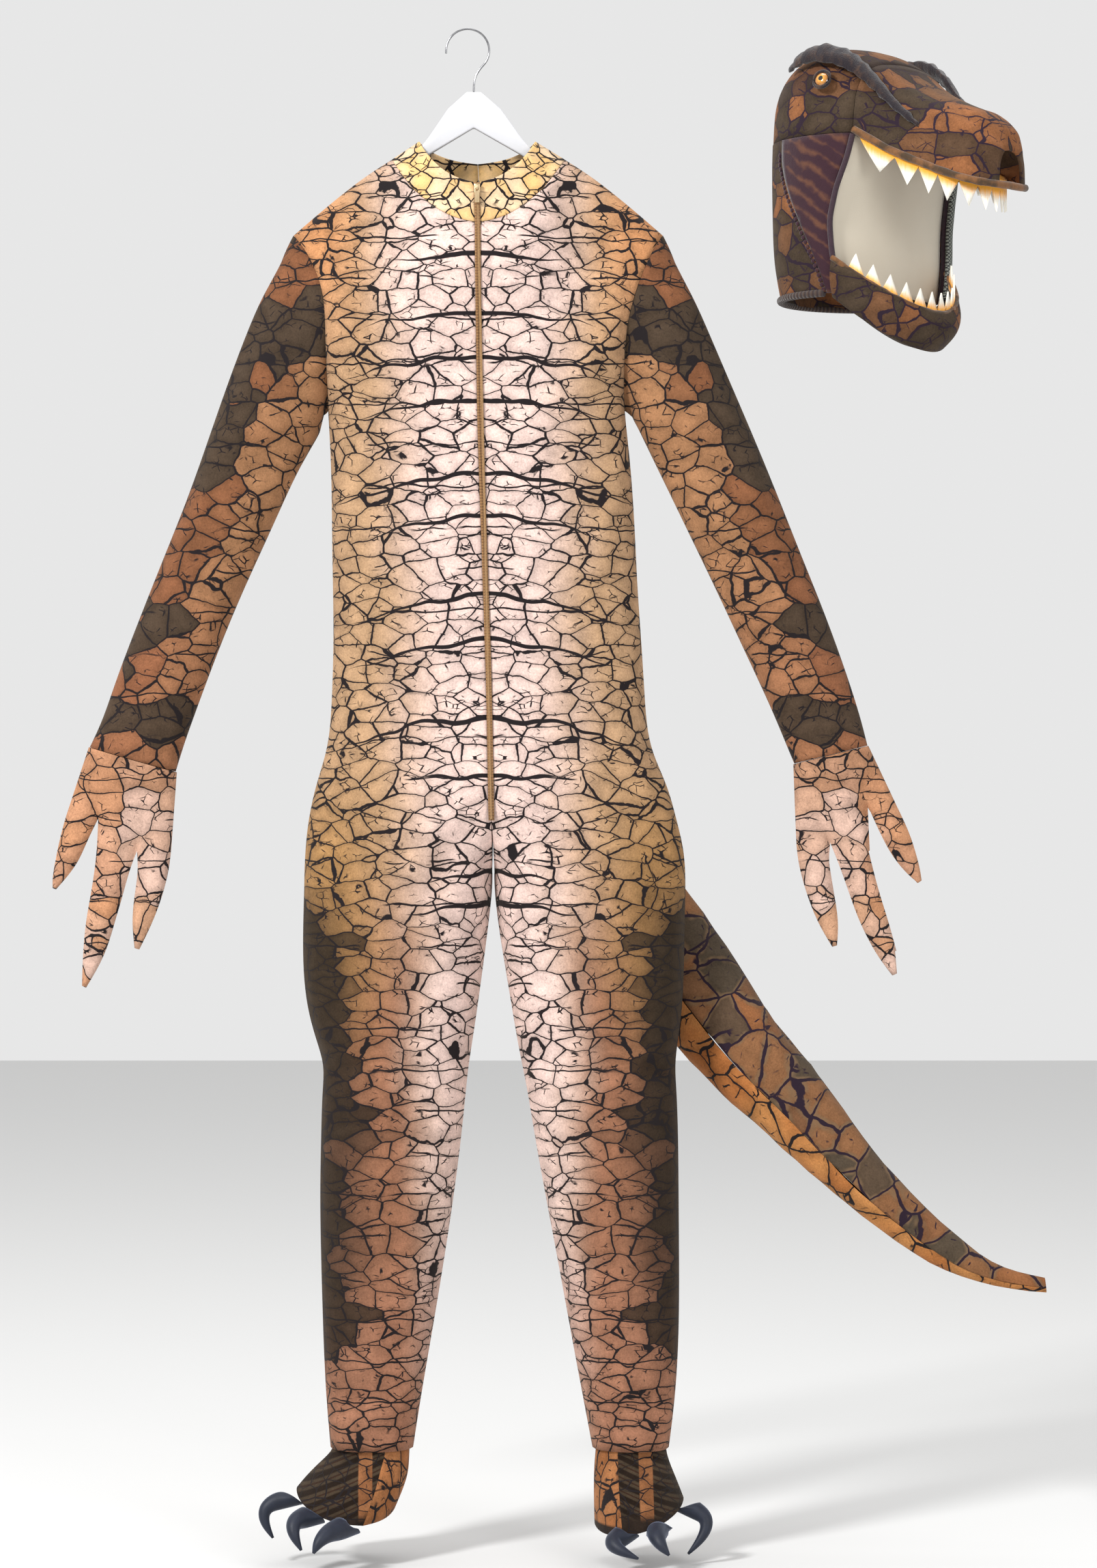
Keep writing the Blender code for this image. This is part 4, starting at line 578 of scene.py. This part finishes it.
palm_velour = reptile_velour("glove palm velour", palm_colours, cell=0.030, flat=1.25, line=0.0008)
glove_velour = reptile_velour("glove back velour", glove_back_colours, cell=0.030, flat=1.25, line=0.0008)
GLOVE_FOLDS = fold_table(
    (-350, -850, -420, -846, 6, 2.2), (-345, -868, -430, -866, 6, -2), (-395, -890, -375, -925, 8, -3),
    (-425, -880, -420, -905, 7, -2.6), (372, -850, 450, -846, 6, 2.2), (375, -868, 465, -862, 6, -2),
    (405, -885, 412, -920, 8, -3), (440, -875, 452, -900, 7, -2.6), (-405, -960, -420, -1040, 8, 2.2),
    (440, -960, 470, -1040, 8, 2.2),
)
for side, sleeve in (("left", "sleeve_left_cloth"), ("right", "sleeve_right_cloth")):
    for part, material in (("palm", palm_velour), ("back", glove_velour)):
        node = f"glove_{side}_{part}"
        half = cloth_from(node)
        press(half, GLOVE_FOLDS, ripple=0.0005)
        dress(half, node, material)

# The foot covers: a velour instep with slanted dark stripes between strips of scales, an orange side and heel
# with the cracked print and a dark bound edge, and three stuffed satin claws sewn to the toe edge.


STRIPE_PITCH = 0.0068


def stripe_colours(cloth, cell, place, own):
    near, _, height = cloth.split(place)
    slope = near * 0.42 + height
    step = (slope + 1.7).math("PINGPONG", STRIPE_PITCH) / STRIPE_PITCH
    dark = cloth.tint((0.014, 0.008, 0.005), (0.050, 0.034, 0.021), step.rise(0.30, 0.55))
    return cloth.tint(dark, (0.030, 0.014, 0.008), step.rise(0.80, 0.95))


def strip_colours(cloth, cell, place, own):
    near, _, height = cloth.split(place)
    dark = stripe_colours(cloth, cell, place, own)
    scale = cloth.tint((0.190, 0.075, 0.030), (0.270, 0.115, 0.048), own)
    strips = abs(near - 0.118).rise(0.0095, 0.0080).most(abs(near - 0.158).rise(0.0085, 0.0070))
    toe = height.rise(-1.674, -1.686)
    return cloth.tint(cloth.tint(dark, scale, strips), (0.022, 0.014, 0.010), toe)


def heel_colours(cloth, cell, place, own):
    ground = cloth.tint((0.270, 0.100, 0.034), (0.350, 0.150, 0.060), own)
    _, _, height = cloth.split(place)
    return cloth.tint(ground, (0.020, 0.013, 0.010), height.rise(-1.690, -1.694))


instep_velour = reptile_velour("striped instep velour", strip_colours, cell=0.020, flat=1.2, line=0.0006, twigs=0,
                               rungs=0)
heel_velour = reptile_velour("orange heel velour", heel_colours, cell=0.022, flat=0.8, line=0.0009, rungs=0)
FOOT_FOLDS = fold_table(
    (-160, -1618, -90, -1622, 6, -3), (-170, -1640, -100, -1650, 8, 2.4), (225, -1618, 150, -1622, 6, -3),
    (235, -1640, 160, -1652, 8, 2.4),
)
for side, leg in (("left", "front_left_cloth"), ("right", "front_right_cloth")):
    for part, material, area in (("instep", instep_velour, 0.0128), ("heel", heel_velour, 0.0158)):
        node = f"foot_{side}_{part}"
        cover = cloth_from(node)
        press(cover, FOOT_FOLDS, ripple=0.0006)
        dress(cover, node, material)

claw_satin = Finish("claw satin", Sheen_Weight=0.35, Sheen_Roughness=0.35, Sheen_Tint=(0.55, 0.65, 0.9, 1),
                    Specular_IOR_Level=0.35)
twill = claw_satin.grain(claw_satin.place(), 1400, 1.0)
slub = claw_satin.grain(claw_satin.place(), 90, 2.0)
claw_satin.feed(Base_Color=claw_satin.tint((0.006, 0.008, 0.016), (0.016, 0.021, 0.038), slub),
                Roughness=slub * 0.18 + 0.42, Normal=claw_satin.bump(twill * 0.6 + slub, 0.0008, 0.35))
for side in ("left", "right"):
    for number in (1, 2, 3):
        node = f"foot_{side}_claw_{number}"
        claw = cloth_from(node)
        clad(claw, node, claw_satin.material)

# The tail: a long stuffed cone of velour in two pieces, olive and brown above and orange below, sewn into the
# seat and hanging out to the side and down. The cloth puckers along its seam and creases where it bends.


def tail_colours(cloth, cell, place, own):
    patches = cloth.grain(cell, 8, 2.0)
    ground = cloth.tint((0.185, 0.085, 0.038), (0.062, 0.045, 0.030), (patches + (own - 0.5) * 0.5).rise(0.40, 0.50))
    return cloth.tint(ground, (0.230, 0.090, 0.034), own.rise(0.62, 0.70) * patches.rise(0.55, 0.45))


def belly_side_colours(cloth, cell, place, own):
    drift = cloth.grain(place, 14, 2.0)
    return cloth.tint((0.340, 0.120, 0.034), (0.420, 0.185, 0.060), (drift + own * 0.4).rise(0.4, 0.9))


PUFF_GAIN = 2.0


def puff(piece, folds, ripple=0.0011):
    """Moves a stuffed piece's skin along its own normals by its folds and by a slight unevenness."""
    for vertex in piece.data.vertices:
        x, y, z = vertex.co
        swell = noise.noise(Vector((x * 14, y * 14, z * 14))) + 0.5 * noise.noise(Vector((x * 38, y * 38, z * 38)))
        move = ripple * PUFF_GAIN * swell
        for start, end, wide, deep, face in folds:
            run = end - start
            share = min(max(((x - start[0]) * run[0] + (z - start[1]) * run[1]) / (run @ run), 0), 1)
            apart = np.hypot(x - start[0] - share * run[0], z - start[1] - share * run[1])
            near = np.exp(-(apart / wide) ** 2) * (1 - 0.5 * abs(2 * share - 1) ** 2)
            move += near * deep * (vertex.normal.y * face > -0.2)
        vertex.co += vertex.normal * move
    piece.data.update()


tail_velour = reptile_velour("tail velour", tail_colours, cell=0.046, flat=1.15, line=0.0013, turn=radians(-52),
                             twigs=0.2, rungs=0, edge=(0.16, 0.10, 0.055), mirrored=None, ink=(0.018, 0.010, 0.018))
belly_side_velour = reptile_velour("tail underside velour", belly_side_colours, cell=0.040, flat=0.9, line=0.0010,
                                   turn=radians(-52), rungs=0, mirrored=None)
TAIL_FOLDS = fold_table(
    (345, -1105, 385, -1165, 8, -5), (362, -1100, 400, -1150, 8, 3.6), (330, -1150, 352, -1190, 8, -4),
    (410, -1195, 455, -1245, 8, -4.4), (430, -1190, 470, -1225, 7, 3.4), (290, -1020, 340, -1050, 10, -4),
    (265, -1040, 300, -1090, 10, 3.6), (500, -1290, 530, -1320, 7, -3), (300, -1000, 350, -1060, 10, -3.6, 1),
    (380, -1120, 420, -1180, 10, 3.6, 1),
)
for node, material in (("tail_top", tail_velour), ("tail_belly", belly_side_velour)):
    half = cloth_from(node)
    puff(half, TAIL_FOLDS)
    clad(half, node, material)

# The head mask: printed velour over a foam shell, in a crown, a snout, a back and a lower jaw. It stands turned
# halfway to the front beside the shoulder. The print has cells of olive and orange-brown between thin dark
# lines, and a darker crown; the cloth puckers at the nose and wrinkles over the forehead.
HEAD_MIDDLE = Vector((0.455, 0.060, 0))
AHEAD = Vector((cos(radians(45)), -sin(radians(45)), 0))
LEFT = Vector((sin(radians(45)), cos(radians(45)), 0))


def head_place(ahead, left, below):
    """A point of the head in metres: towards the snout, to its own left, and under the hook."""
    return HEAD_MIDDLE + AHEAD * ahead + LEFT * left + Vector((0, 0, -below))


def head_colours(cloth, cell, place, own):
    patches = cloth.grain(cell, 13, 2.0)
    ground = cloth.tint((0.215, 0.085, 0.034), (0.050, 0.034, 0.022), (patches + (own - 0.5) * 0.7).rise(0.42, 0.50))
    ground = cloth.tint(ground, (0.110, 0.055, 0.028), own.rise(0.25, 0.18) * 0.8)
    _, ahead, height = cloth.split(cell)
    nose = ahead.rise(0.165, 0.190) * 0.5
    ground = cloth.tint(ground, (0.200, 0.075, 0.028), nose)
    return cloth.tint(ground, (0.030, 0.020, 0.018), height.rise(-0.090, -0.055) * own.rise(0.20, 0.40) * 0.80)


head_velour = reptile_velour("head velour", head_colours, cell=0.031, flat=1.25, line=0.0008, twigs=0.45, rungs=0,
                             mirrored="head", ink=(0.020, 0.011, 0.020), mottle=0.42)
HEAD_FOLDS = fold_table(
    (560, -60, 585, -100, 6, -3.4), (572, -60, 598, -104, 5, 2.8), (545, -95, 575, -130, 6, -2.8),
    (590, -100, 625, -120, 6, -3), (600, -125, 640, -135, 6, 2.6), (612, -150, 650, -160, 5, -2.6),
    (640, -110, 655, -150, 5, -3.4), (628, -105, 648, -125, 4, 3), (575, -140, 620, -168, 6, 3),
    (500, -60, 530, -90, 7, -2.6), (400, -90, 440, -60, 10, -2.4), (385, -180, 400, -260, 10, 2.4),
    (395, -250, 430, -310, 9, -2.6), (520, -300, 580, -330, 8, -2.8), (480, -290, 530, -335, 8, 2.6),
    (560, -310, 610, -330, 7, 2.6), (420, -60, 500, -30, 10, -2.4, 1), (520, -60, 600, -110, 9, -2.6, 1),
    (380, -150, 400, -260, 10, 2.4, 1), (440, -200, 450, -290, 10, -2.4, 1),
)
HEAD_CUTS = {"head_crown": (0.40, 0.36, 0.0600), "head_snout": (0.30, 0.26, 0.0450),
             "head_back": (0.42, 0.19, 0.0560), "head_jaw": (0.36, 0.13, 0.0195)}
for node, (wide, long, area) in HEAD_CUTS.items():
    part = cloth_from(node)
    press(part, HEAD_FOLDS, ripple=0.0007)
    dress(part, node, head_velour)

# The cheeks: two panels of thin dark suede between the mouth and the printed back, brushed with slanting
# orange-brown streaks, and a row of small sewn scales along the seam behind them.
cheek_suede = Finish("cheek suede", Sheen_Weight=0.3, Sheen_Roughness=0.4, Specular_IOR_Level=0.15)
spot = cheek_suede.wander(cheek_suede.place(), 26, 0.020)
x, y, z = cheek_suede.split(spot)
slant = (x - y) * 0.5 + z * 1.2
STREAK_PITCH = 0.011
streak = slant.math("PINGPONG", STREAK_PITCH) / STREAK_PITCH
torn = cheek_suede.grain(cheek_suede.place(), 30, 3.0, 0.7)
ground = cheek_suede.tint((0.034, 0.014, 0.020), (0.100, 0.042, 0.026), (streak * 0.35 + torn * 0.9).rise(0.62, 0.90))
nap = cheek_suede.grain(cheek_suede.place(), 1100, 2.0)
cheek_suede.feed(Base_Color=cheek_suede.darken(ground, nap * 0.5 + 0.75), Roughness=nap * 0.1 + 0.85,
                 Normal=cheek_suede.bump(nap + torn * 2.0, 0.0009, 0.5))
CHEEK_FOLDS = fold_table(
    (405, -150, 440, -200, 7, -2.4), (430, -150, 450, -230, 7, 2.2), (430, -230, 455, -290, 7, -2.2),
)
for node in ("head_cheek_left", "head_cheek_right"):
    cheek = cloth_from(node)
    press(cheek, CHEEK_FOLDS, ripple=0.0006)
    dress(cheek, node, cheek_suede.material)

HOOD_LEVELS = (0.1227, 0.150, 0.185, 0.220, 0.252, 0.278, 0.302)
HOOD_LONG = (0.106, 0.106, 0.106, 0.105, 0.104, 0.100, 0.095)
HOOD_WIDE = (0.104, 0.106, 0.106, 0.106, 0.105, 0.102, 0.098)
MOUTH_EDGE = (57, 60, 67, 71, 70, 68, 66)
CHEEK_EDGE = (112, 112, 104, 93, 84, 78, 74)


def hood_place(below, turn, out=0.0):
    """A point of the hood's outside at a level and a turn in degrees from straight ahead, to its left."""
    long, wide = (float(np.interp(below, HOOD_LEVELS, table)) + out for table in (HOOD_LONG, HOOD_WIDE))
    return head_place(long * cos(radians(turn)), wide * sin(radians(turn)), below)


def tube(name, path, thick, material, sides=4):
    """A round roll of cloth along a path, thinner where a point has a share of its width as a fourth number."""
    line = bpy.data.curves.new(name, "CURVE")
    line.dimensions = "3D"
    line.bevel_depth, line.bevel_resolution, line.resolution_u = thick, sides, 6
    line.use_fill_caps = True
    spline = line.splines.new("NURBS")
    spline.points.add(len(path) - 1)
    for point, place in zip(spline.points, path):
        point.co = (*place[:3], 1)
        point.radius = place[3] if len(place) > 3 else 1.0
    spline.use_endpoint_u, spline.order_u = True, 4
    drawn = bpy.data.objects.new(name + "_line", line)
    bpy.context.scene.collection.objects.link(drawn)
    shown = drawn.evaluated_get(bpy.context.evaluated_depsgraph_get())
    mesh = bpy.data.meshes.new_from_object(shown)
    bpy.data.objects.remove(drawn)
    mesh.name = name
    mesh.materials.clear()
    mesh.materials.append(material)
    mesh.shade_smooth()
    roll = bpy.data.objects.new(name, mesh)
    bpy.context.scene.collection.objects.link(roll)
    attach(roll, "root")
    return roll


bm = bmesh.new()
for side in (-1, 1):
    for step in range(30):
        below = 0.140 + (0.298 - 0.140) * step / 29
        turn = side * (float(np.interp(below, HOOD_LEVELS, CHEEK_EDGE)) + 1.5)
        middle = hood_place(below, turn, 0.0005)
        out = (middle - head_place(0, 0, below)).normalized()
        made = bmesh.ops.create_icosphere(bm, subdivisions=2, radius=1.0)["verts"]
        bmesh.ops.scale(bm, vec=(0.0027, 0.0027, 0.0012), verts=made)
        turned = Vector((0, 0, 1)).rotation_difference(out).to_matrix()
        bmesh.ops.rotate(bm, matrix=turned, verts=made)
        bmesh.ops.translate(bm, vec=middle, verts=made)
scales = stand("cheek_scales", bm)
scales.data.shade_smooth()
scales.data.materials.append(cheek_suede.material)
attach(scales, "root")

# The face mesh: one thin panel of fine pale net, which the wearer looks through, stretched across the open
# mouth. A dark binding holds its near edge and a strip of coarse black net its far one.
face_net = Finish("face mesh", Roughness=0.6, Sheen_Weight=0.25, Specular_IOR_Level=0.3)
x, y, z = face_net.split(face_net.place())
along = x + y
holes = (along * 4200.0).math("SINE") * (z * 4200.0).math("SINE")
shade = face_net.grain(face_net.place(), 10, 2.0)
ground = face_net.tint((0.640, 0.570, 0.450), (0.740, 0.670, 0.550), shade)
face_net.feed(Base_Color=face_net.darken(ground, holes * 0.10 + 0.95), Normal=face_net.bump(holes, 0.0003, 0.6))
net = cloth_from("head_face_mesh")
dress(net, "head_face_mesh", face_net.material)

binding_cloth = Finish("mesh binding", Sheen_Weight=0.25, Specular_IOR_Level=0.2)
rib = binding_cloth.grain(binding_cloth.place(), 420, 2.0)
binding_cloth.feed(Base_Color=binding_cloth.tint((0.016, 0.009, 0.014), (0.050, 0.026, 0.036), rib),
                   Roughness=rib * 0.1 + 0.78, Normal=binding_cloth.bump(rib, 0.0005, 0.6))
levels = [0.125 + (0.296 - 0.125) * step / 17 for step in range(18)]
edge = [hood_place(below, -float(np.interp(below, HOOD_LEVELS, MOUTH_EDGE)) + 1.0, 0.0012) for below in levels]
tube("mesh_binding_near", edge, 0.0032, binding_cloth.material)
edge = [hood_place(below, float(np.interp(below, HOOD_LEVELS, MOUTH_EDGE)) - 1.0, 0.0012) for below in levels]
tube("mesh_binding_far", edge, 0.0040, binding_cloth.material)

coarse_net = Finish("coarse black net", Roughness=0.6, Specular_IOR_Level=0.3)
x, y, z = coarse_net.split(coarse_net.place())
cross = ((x + y + z) * 1500.0).math("SINE")
other = ((x + y - z) * 1500.0).math("SINE")
knots = cross.most(other).rise(0.55, 0.85)
coarse_net.feed(Base_Color=coarse_net.tint((0.200, 0.215, 0.190), (0.010, 0.010, 0.012), knots),
                Normal=coarse_net.bump(knots, 0.0006, 0.8))
edge = [hood_place(below, float(np.interp(below, HOOD_LEVELS, MOUTH_EDGE)) - 5.0, 0.0035) for below in levels[1:]]
tube("coarse_net_strip", edge, 0.0042, coarse_net.material)

# The lips: a narrow stuffed roll of the head's velour all round the upper jaw, over the gum of the teeth.
LIP_AHEAD = (0.060, 0.085, 0.110, 0.140, 0.170, 0.195, 0.210, 0.217)
LIP_HALF = (0.088, 0.077, 0.070, 0.064, 0.058, 0.049, 0.036, 0.020)
LIP_BELOW = (0.122, 0.139, 0.153, 0.166, 0.179, 0.188, 0.192, 0.193)
lip_cloth = Finish("lip roll velour", Sheen_Weight=0.25, Specular_IOR_Level=0.18)
tone = lip_cloth.grain(lip_cloth.place(), 55, 3.0)
speck = lip_cloth.grain(lip_cloth.place(), 520, 3.0, 0.7)
ground = lip_cloth.tint((0.055, 0.032, 0.016), (0.170, 0.075, 0.028), tone.rise(0.38, 0.60))
lip_cloth.feed(Base_Color=lip_cloth.darken(ground, speck * 0.8 + 0.6), Roughness=speck * 0.1 + 0.85,
               Normal=lip_cloth.bump(speck + tone, 0.0008, 0.5))
lip_rows = list(zip(LIP_AHEAD, LIP_HALF, LIP_BELOW))
upper_lip = [head_place(ahead, -half, below - 0.003) for ahead, half, below in lip_rows]
upper_lip += [head_place(ahead, half, below - 0.003) for ahead, half, below in reversed(lip_rows)]
lower_lip = []
for step in range(23):
    turn = pi * (step / 22 - 0.5)
    left = 0.099 * sin(turn) * (1 - 0.26 * cos(turn))
    lower_lip.append(head_place(0.038 + 0.0735 * cos(turn), left, 0.263 + 0.062 * cos(turn)))
for name, path, thick, uneven in (("upper_lip_roll", upper_lip, 0.0042, 0.0009),
                                  ("lower_lip_roll", lower_lip, 0.0034, 0.0008)):
    roll = tube(name, path, thick, lip_cloth.material, sides=6)
    for vertex in roll.data.vertices:
        vertex.co += vertex.normal * uneven * noise.noise(vertex.co * 90)

# The teeth: two strips of white felt cut in points, painted yellow-orange along the gum, with fine lines that
# run down to each tip.
felt = Finish("tooth felt", Roughness=0.75, Sheen_Weight=0.2, Specular_IOR_Level=0.25)
reach = felt.node("Attribute", {"attribute_name": "from_gum"}, out="Fac")
wisp = felt.grain(felt.vector("MULTIPLY", felt.place(), (1, 1, 0.12)), 420, 2.0)
stain = (reach + (wisp - 0.5) * 0.30).rise(0.62, 0.10)
ground = felt.tint((0.800, 0.770, 0.680), (0.850, 0.380, 0.040), stain)
ground = felt.tint(ground, (0.720, 0.360, 0.060), wisp.rise(0.60, 0.72) * reach.rise(0.95, 0.25) * 0.6)
fuzz = felt.grain(felt.place(), 1300, 2.0)
felt.feed(Base_Color=ground, Normal=felt.bump(fuzz + wisp, 0.0004, 0.5))
for node, flat, area, tall, upward in (("head_teeth_upper", (0.40, 0.040), 0.0092, 0.027, -1),
                                       ("head_teeth_lower", (0.27, 0.036), 0.0056, 0.022, 1)):
    teeth = cloth_from(node, levels=2)
    spread = teeth.data.attributes.new("from_gum", "FLOAT", "POINT")
    for vertex in teeth.data.vertices:
        away = vertex.co - HEAD_MIDDLE
        ahead = away.dot(AHEAD)
        if upward < 0:
            gum = -float(np.interp(ahead + 0.004, LIP_AHEAD, LIP_BELOW))
        else:
            gum = -(0.263 + 0.062 * min(max((ahead - 0.038) / 0.074, 0), 1))
        spread.data[vertex.index].value = (vertex.co.z - gum) * upward / tall
    dress(teeth, node, felt.material)

# The brows and eyes: a stuffed roll of dark wrinkled cloth over each eye, and a domed amber eye with a black
# pupil, held in two folds of cloth.
brow_cloth = Finish("brow cloth", Sheen_Weight=0.3, Specular_IOR_Level=0.2)
crease = brow_cloth.grain(brow_cloth.vector("MULTIPLY", brow_cloth.place(), (1, 1, 0.5)), 110, 3.0)
speck = brow_cloth.grain(brow_cloth.place(), 600, 3.0, 0.7)
ground = brow_cloth.tint((0.010, 0.006, 0.009), (0.055, 0.028, 0.017), (crease * 0.7 + speck * 0.5).rise(0.55, 0.85))
brow_cloth.feed(Base_Color=ground, Roughness=speck * 0.15 + 0.78,
                Normal=brow_cloth.bump(crease * 2 + speck, 0.0012, 0.7))
for side in ("right", "left"):
    node = f"head_brow_{side}"
    brow = cloth_from(node)
    for vertex in brow.data.vertices:
        along = (vertex.co - HEAD_MIDDLE).dot(AHEAD)
        wrinkle = sin(along * 520 + 2.2 * noise.noise(vertex.co * 30)) * 0.0011
        vertex.co += vertex.normal * (wrinkle + 0.0016 * noise.noise(vertex.co * 70))
    clad(brow, node, brow_cloth.material)

    node = f"head_eye_{side}"
    low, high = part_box(node)
    middle = (low + high) / 2
    points = [vertex.co.copy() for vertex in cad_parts[node].data.vertices]
    spreads = np.linalg.svd(np.array(points) - np.array(middle), full_matrices=False)[2]
    out = Vector(spreads[2])
    if out.dot(middle - head_place(0.024, 0, 0.080)) < 0:
        out = -out
    glass = Finish(f"eye {side}", Coat_Roughness=0.03, Specular_IOR_Level=0.5)
    away = glass.vector("SUBTRACT", glass.place(), tuple(middle))
    depth = glass.vector("DOT_PRODUCT", away, tuple(out))
    depth = Reading(glass, depth.socket.node.outputs["Value"])
    length = glass.vector("LENGTH", away, (0, 0, 0))
    length = Reading(glass, length.socket.node.outputs["Value"])
    wide = (length * length - depth * depth).most(0.0).math("SQRT")
    ray = glass.grain(glass.place(), 900, 2.0)
    iris = glass.tint((0.560, 0.240, 0.030), (0.230, 0.080, 0.012), (wide * 90.0 + ray * 0.6).rise(0.55, 1.15))
    iris = glass.tint(iris, (0.740, 0.420, 0.070), (wide + ray * 0.0010).rise(0.0046, 0.0034) * 0.8)
    iris = glass.tint(iris, (0.006, 0.006, 0.007), wide.rise(0.0032, 0.0027))
    iris = glass.tint(iris, (0.015, 0.010, 0.010), wide.rise(0.0074, 0.0082))
    glass.feed(Base_Color=iris, Roughness=ray * 0.04 + 0.06, Coat_Weight=0.8)
    clad(cloth_from(node, levels=1), node, glass.material)
    upright = (Vector((0, 0, 1)) - out * out.z).normalized()
    across = out.cross(upright)
    for name, radius, thick, away_by, drop in (("lid_upper", 0.0102, 0.0024, 0.0012, 0.0014),
                                              ("lid_lower", 0.0108, 0.0020, 0.0004, -0.0012)):
        arc = []
        for step in range(13):
            angle = radians(-10 + 200 * step / 12) * (1 if name == "lid_upper" else -1)
            ring = across * (cos(angle) * radius) + upright * (sin(angle) * radius * 0.80)
            thin = 0.45 + 0.55 * sin(pi * step / 12)
            arc.append((*(middle + ring + out * away_by + upright * drop), thin))
        tube(f"{name}_{side}", arc, thick, brow_cloth.material, sides=5)

# The mask's lower edge: a ribbed knit band sewn round the back of the neck, from one cheek to the other.
knit = Finish("neck knit", Sheen_Weight=0.2, Specular_IOR_Level=0.2)
x, y, _ = knit.split(knit.place())
bearing = (y - 0.060).math("ARCTAN2", x - 0.455)
ribs = (bearing * 110.0).math("SINE") * 0.5 + 0.5
yarn = knit.grain(knit.place(), 700, 2.0)
knit.feed(Base_Color=knit.tint((0.018, 0.011, 0.014), (0.070, 0.045, 0.032), ribs * 0.7 + yarn * 0.3),
          Roughness=yarn * 0.1 + 0.82, Normal=knit.bump(ribs + yarn * 0.4, 0.0010, 0.8))
rim = [hood_place(0.302, 76 + (360 - 152) * step / 40, -0.0005) for step in range(41)]
tube("neck_knit_band", rim, 0.0042, knit.material, sides=5)

# The studio: a plain pale floor, three soft lamps, and a camera level with the suit's middle, five metres off, as
# the costume was photographed.
FLOOR_HEIGHT = cad_box[0].z - 0.012
bm = bmesh.new()
corners = [bm.verts.new((x, y, FLOOR_HEIGHT)) for x, y in ((-9, -9), (9, -9), (9, 9), (-9, 9))]
bm.faces.new(corners)
studio = stand("studio_floor", bm)
paper = Finish("studio paper", Roughness=0.9)
paper.feed(Base_Color=(0.66, 0.66, 0.655))
studio.data.materials.append(paper.material)

for name, place, size, watts in (("lamp_left", (-2.7, -3.3, 1.9), 0.9, 245),
                                 ("lamp_right", (2.6, -3.6, 0.3), 1.8, 50),
                                 ("lamp_top", (0.0, 0.4, 3.6), 3.0, 80)):
    lamp = bpy.data.lights.new(name, "AREA")
    lamp.shape, lamp.size, lamp.energy = "DISK", size, watts
    fixture = bpy.data.objects.new(name, lamp)
    fixture.location = place
    aim = Vector((0.1, 0.0, -0.85)) - Vector(place)
    fixture.rotation_euler = aim.to_track_quat("-Z", "Y").to_euler()
    bpy.context.scene.collection.objects.link(fixture)
world = bpy.data.worlds.new("studio air")
world.use_nodes = True
world.node_tree.nodes["Background"].inputs["Color"].default_value = (1.0, 1.0, 1.0, 1)
world.node_tree.nodes["Background"].inputs["Strength"].default_value = 0.80
bpy.context.scene.world = world
bpy.context.scene.view_settings.view_transform = "Standard"

DISTANCE = 5.0
FRAME_TALL = 1.784
FRAME_MIDDLE = (0.092, -0.858)
camera = bpy.data.cameras.new("camera")
camera.lens = camera.sensor_width * DISTANCE / FRAME_TALL
tripod = bpy.data.objects.new("camera", camera)
tripod.location = (FRAME_MIDDLE[0], -DISTANCE, FRAME_MIDDLE[1])
tripod.rotation_euler = (pi / 2, 0, 0)
bpy.context.scene.collection.objects.link(tripod)
bpy.context.scene.camera = tripod
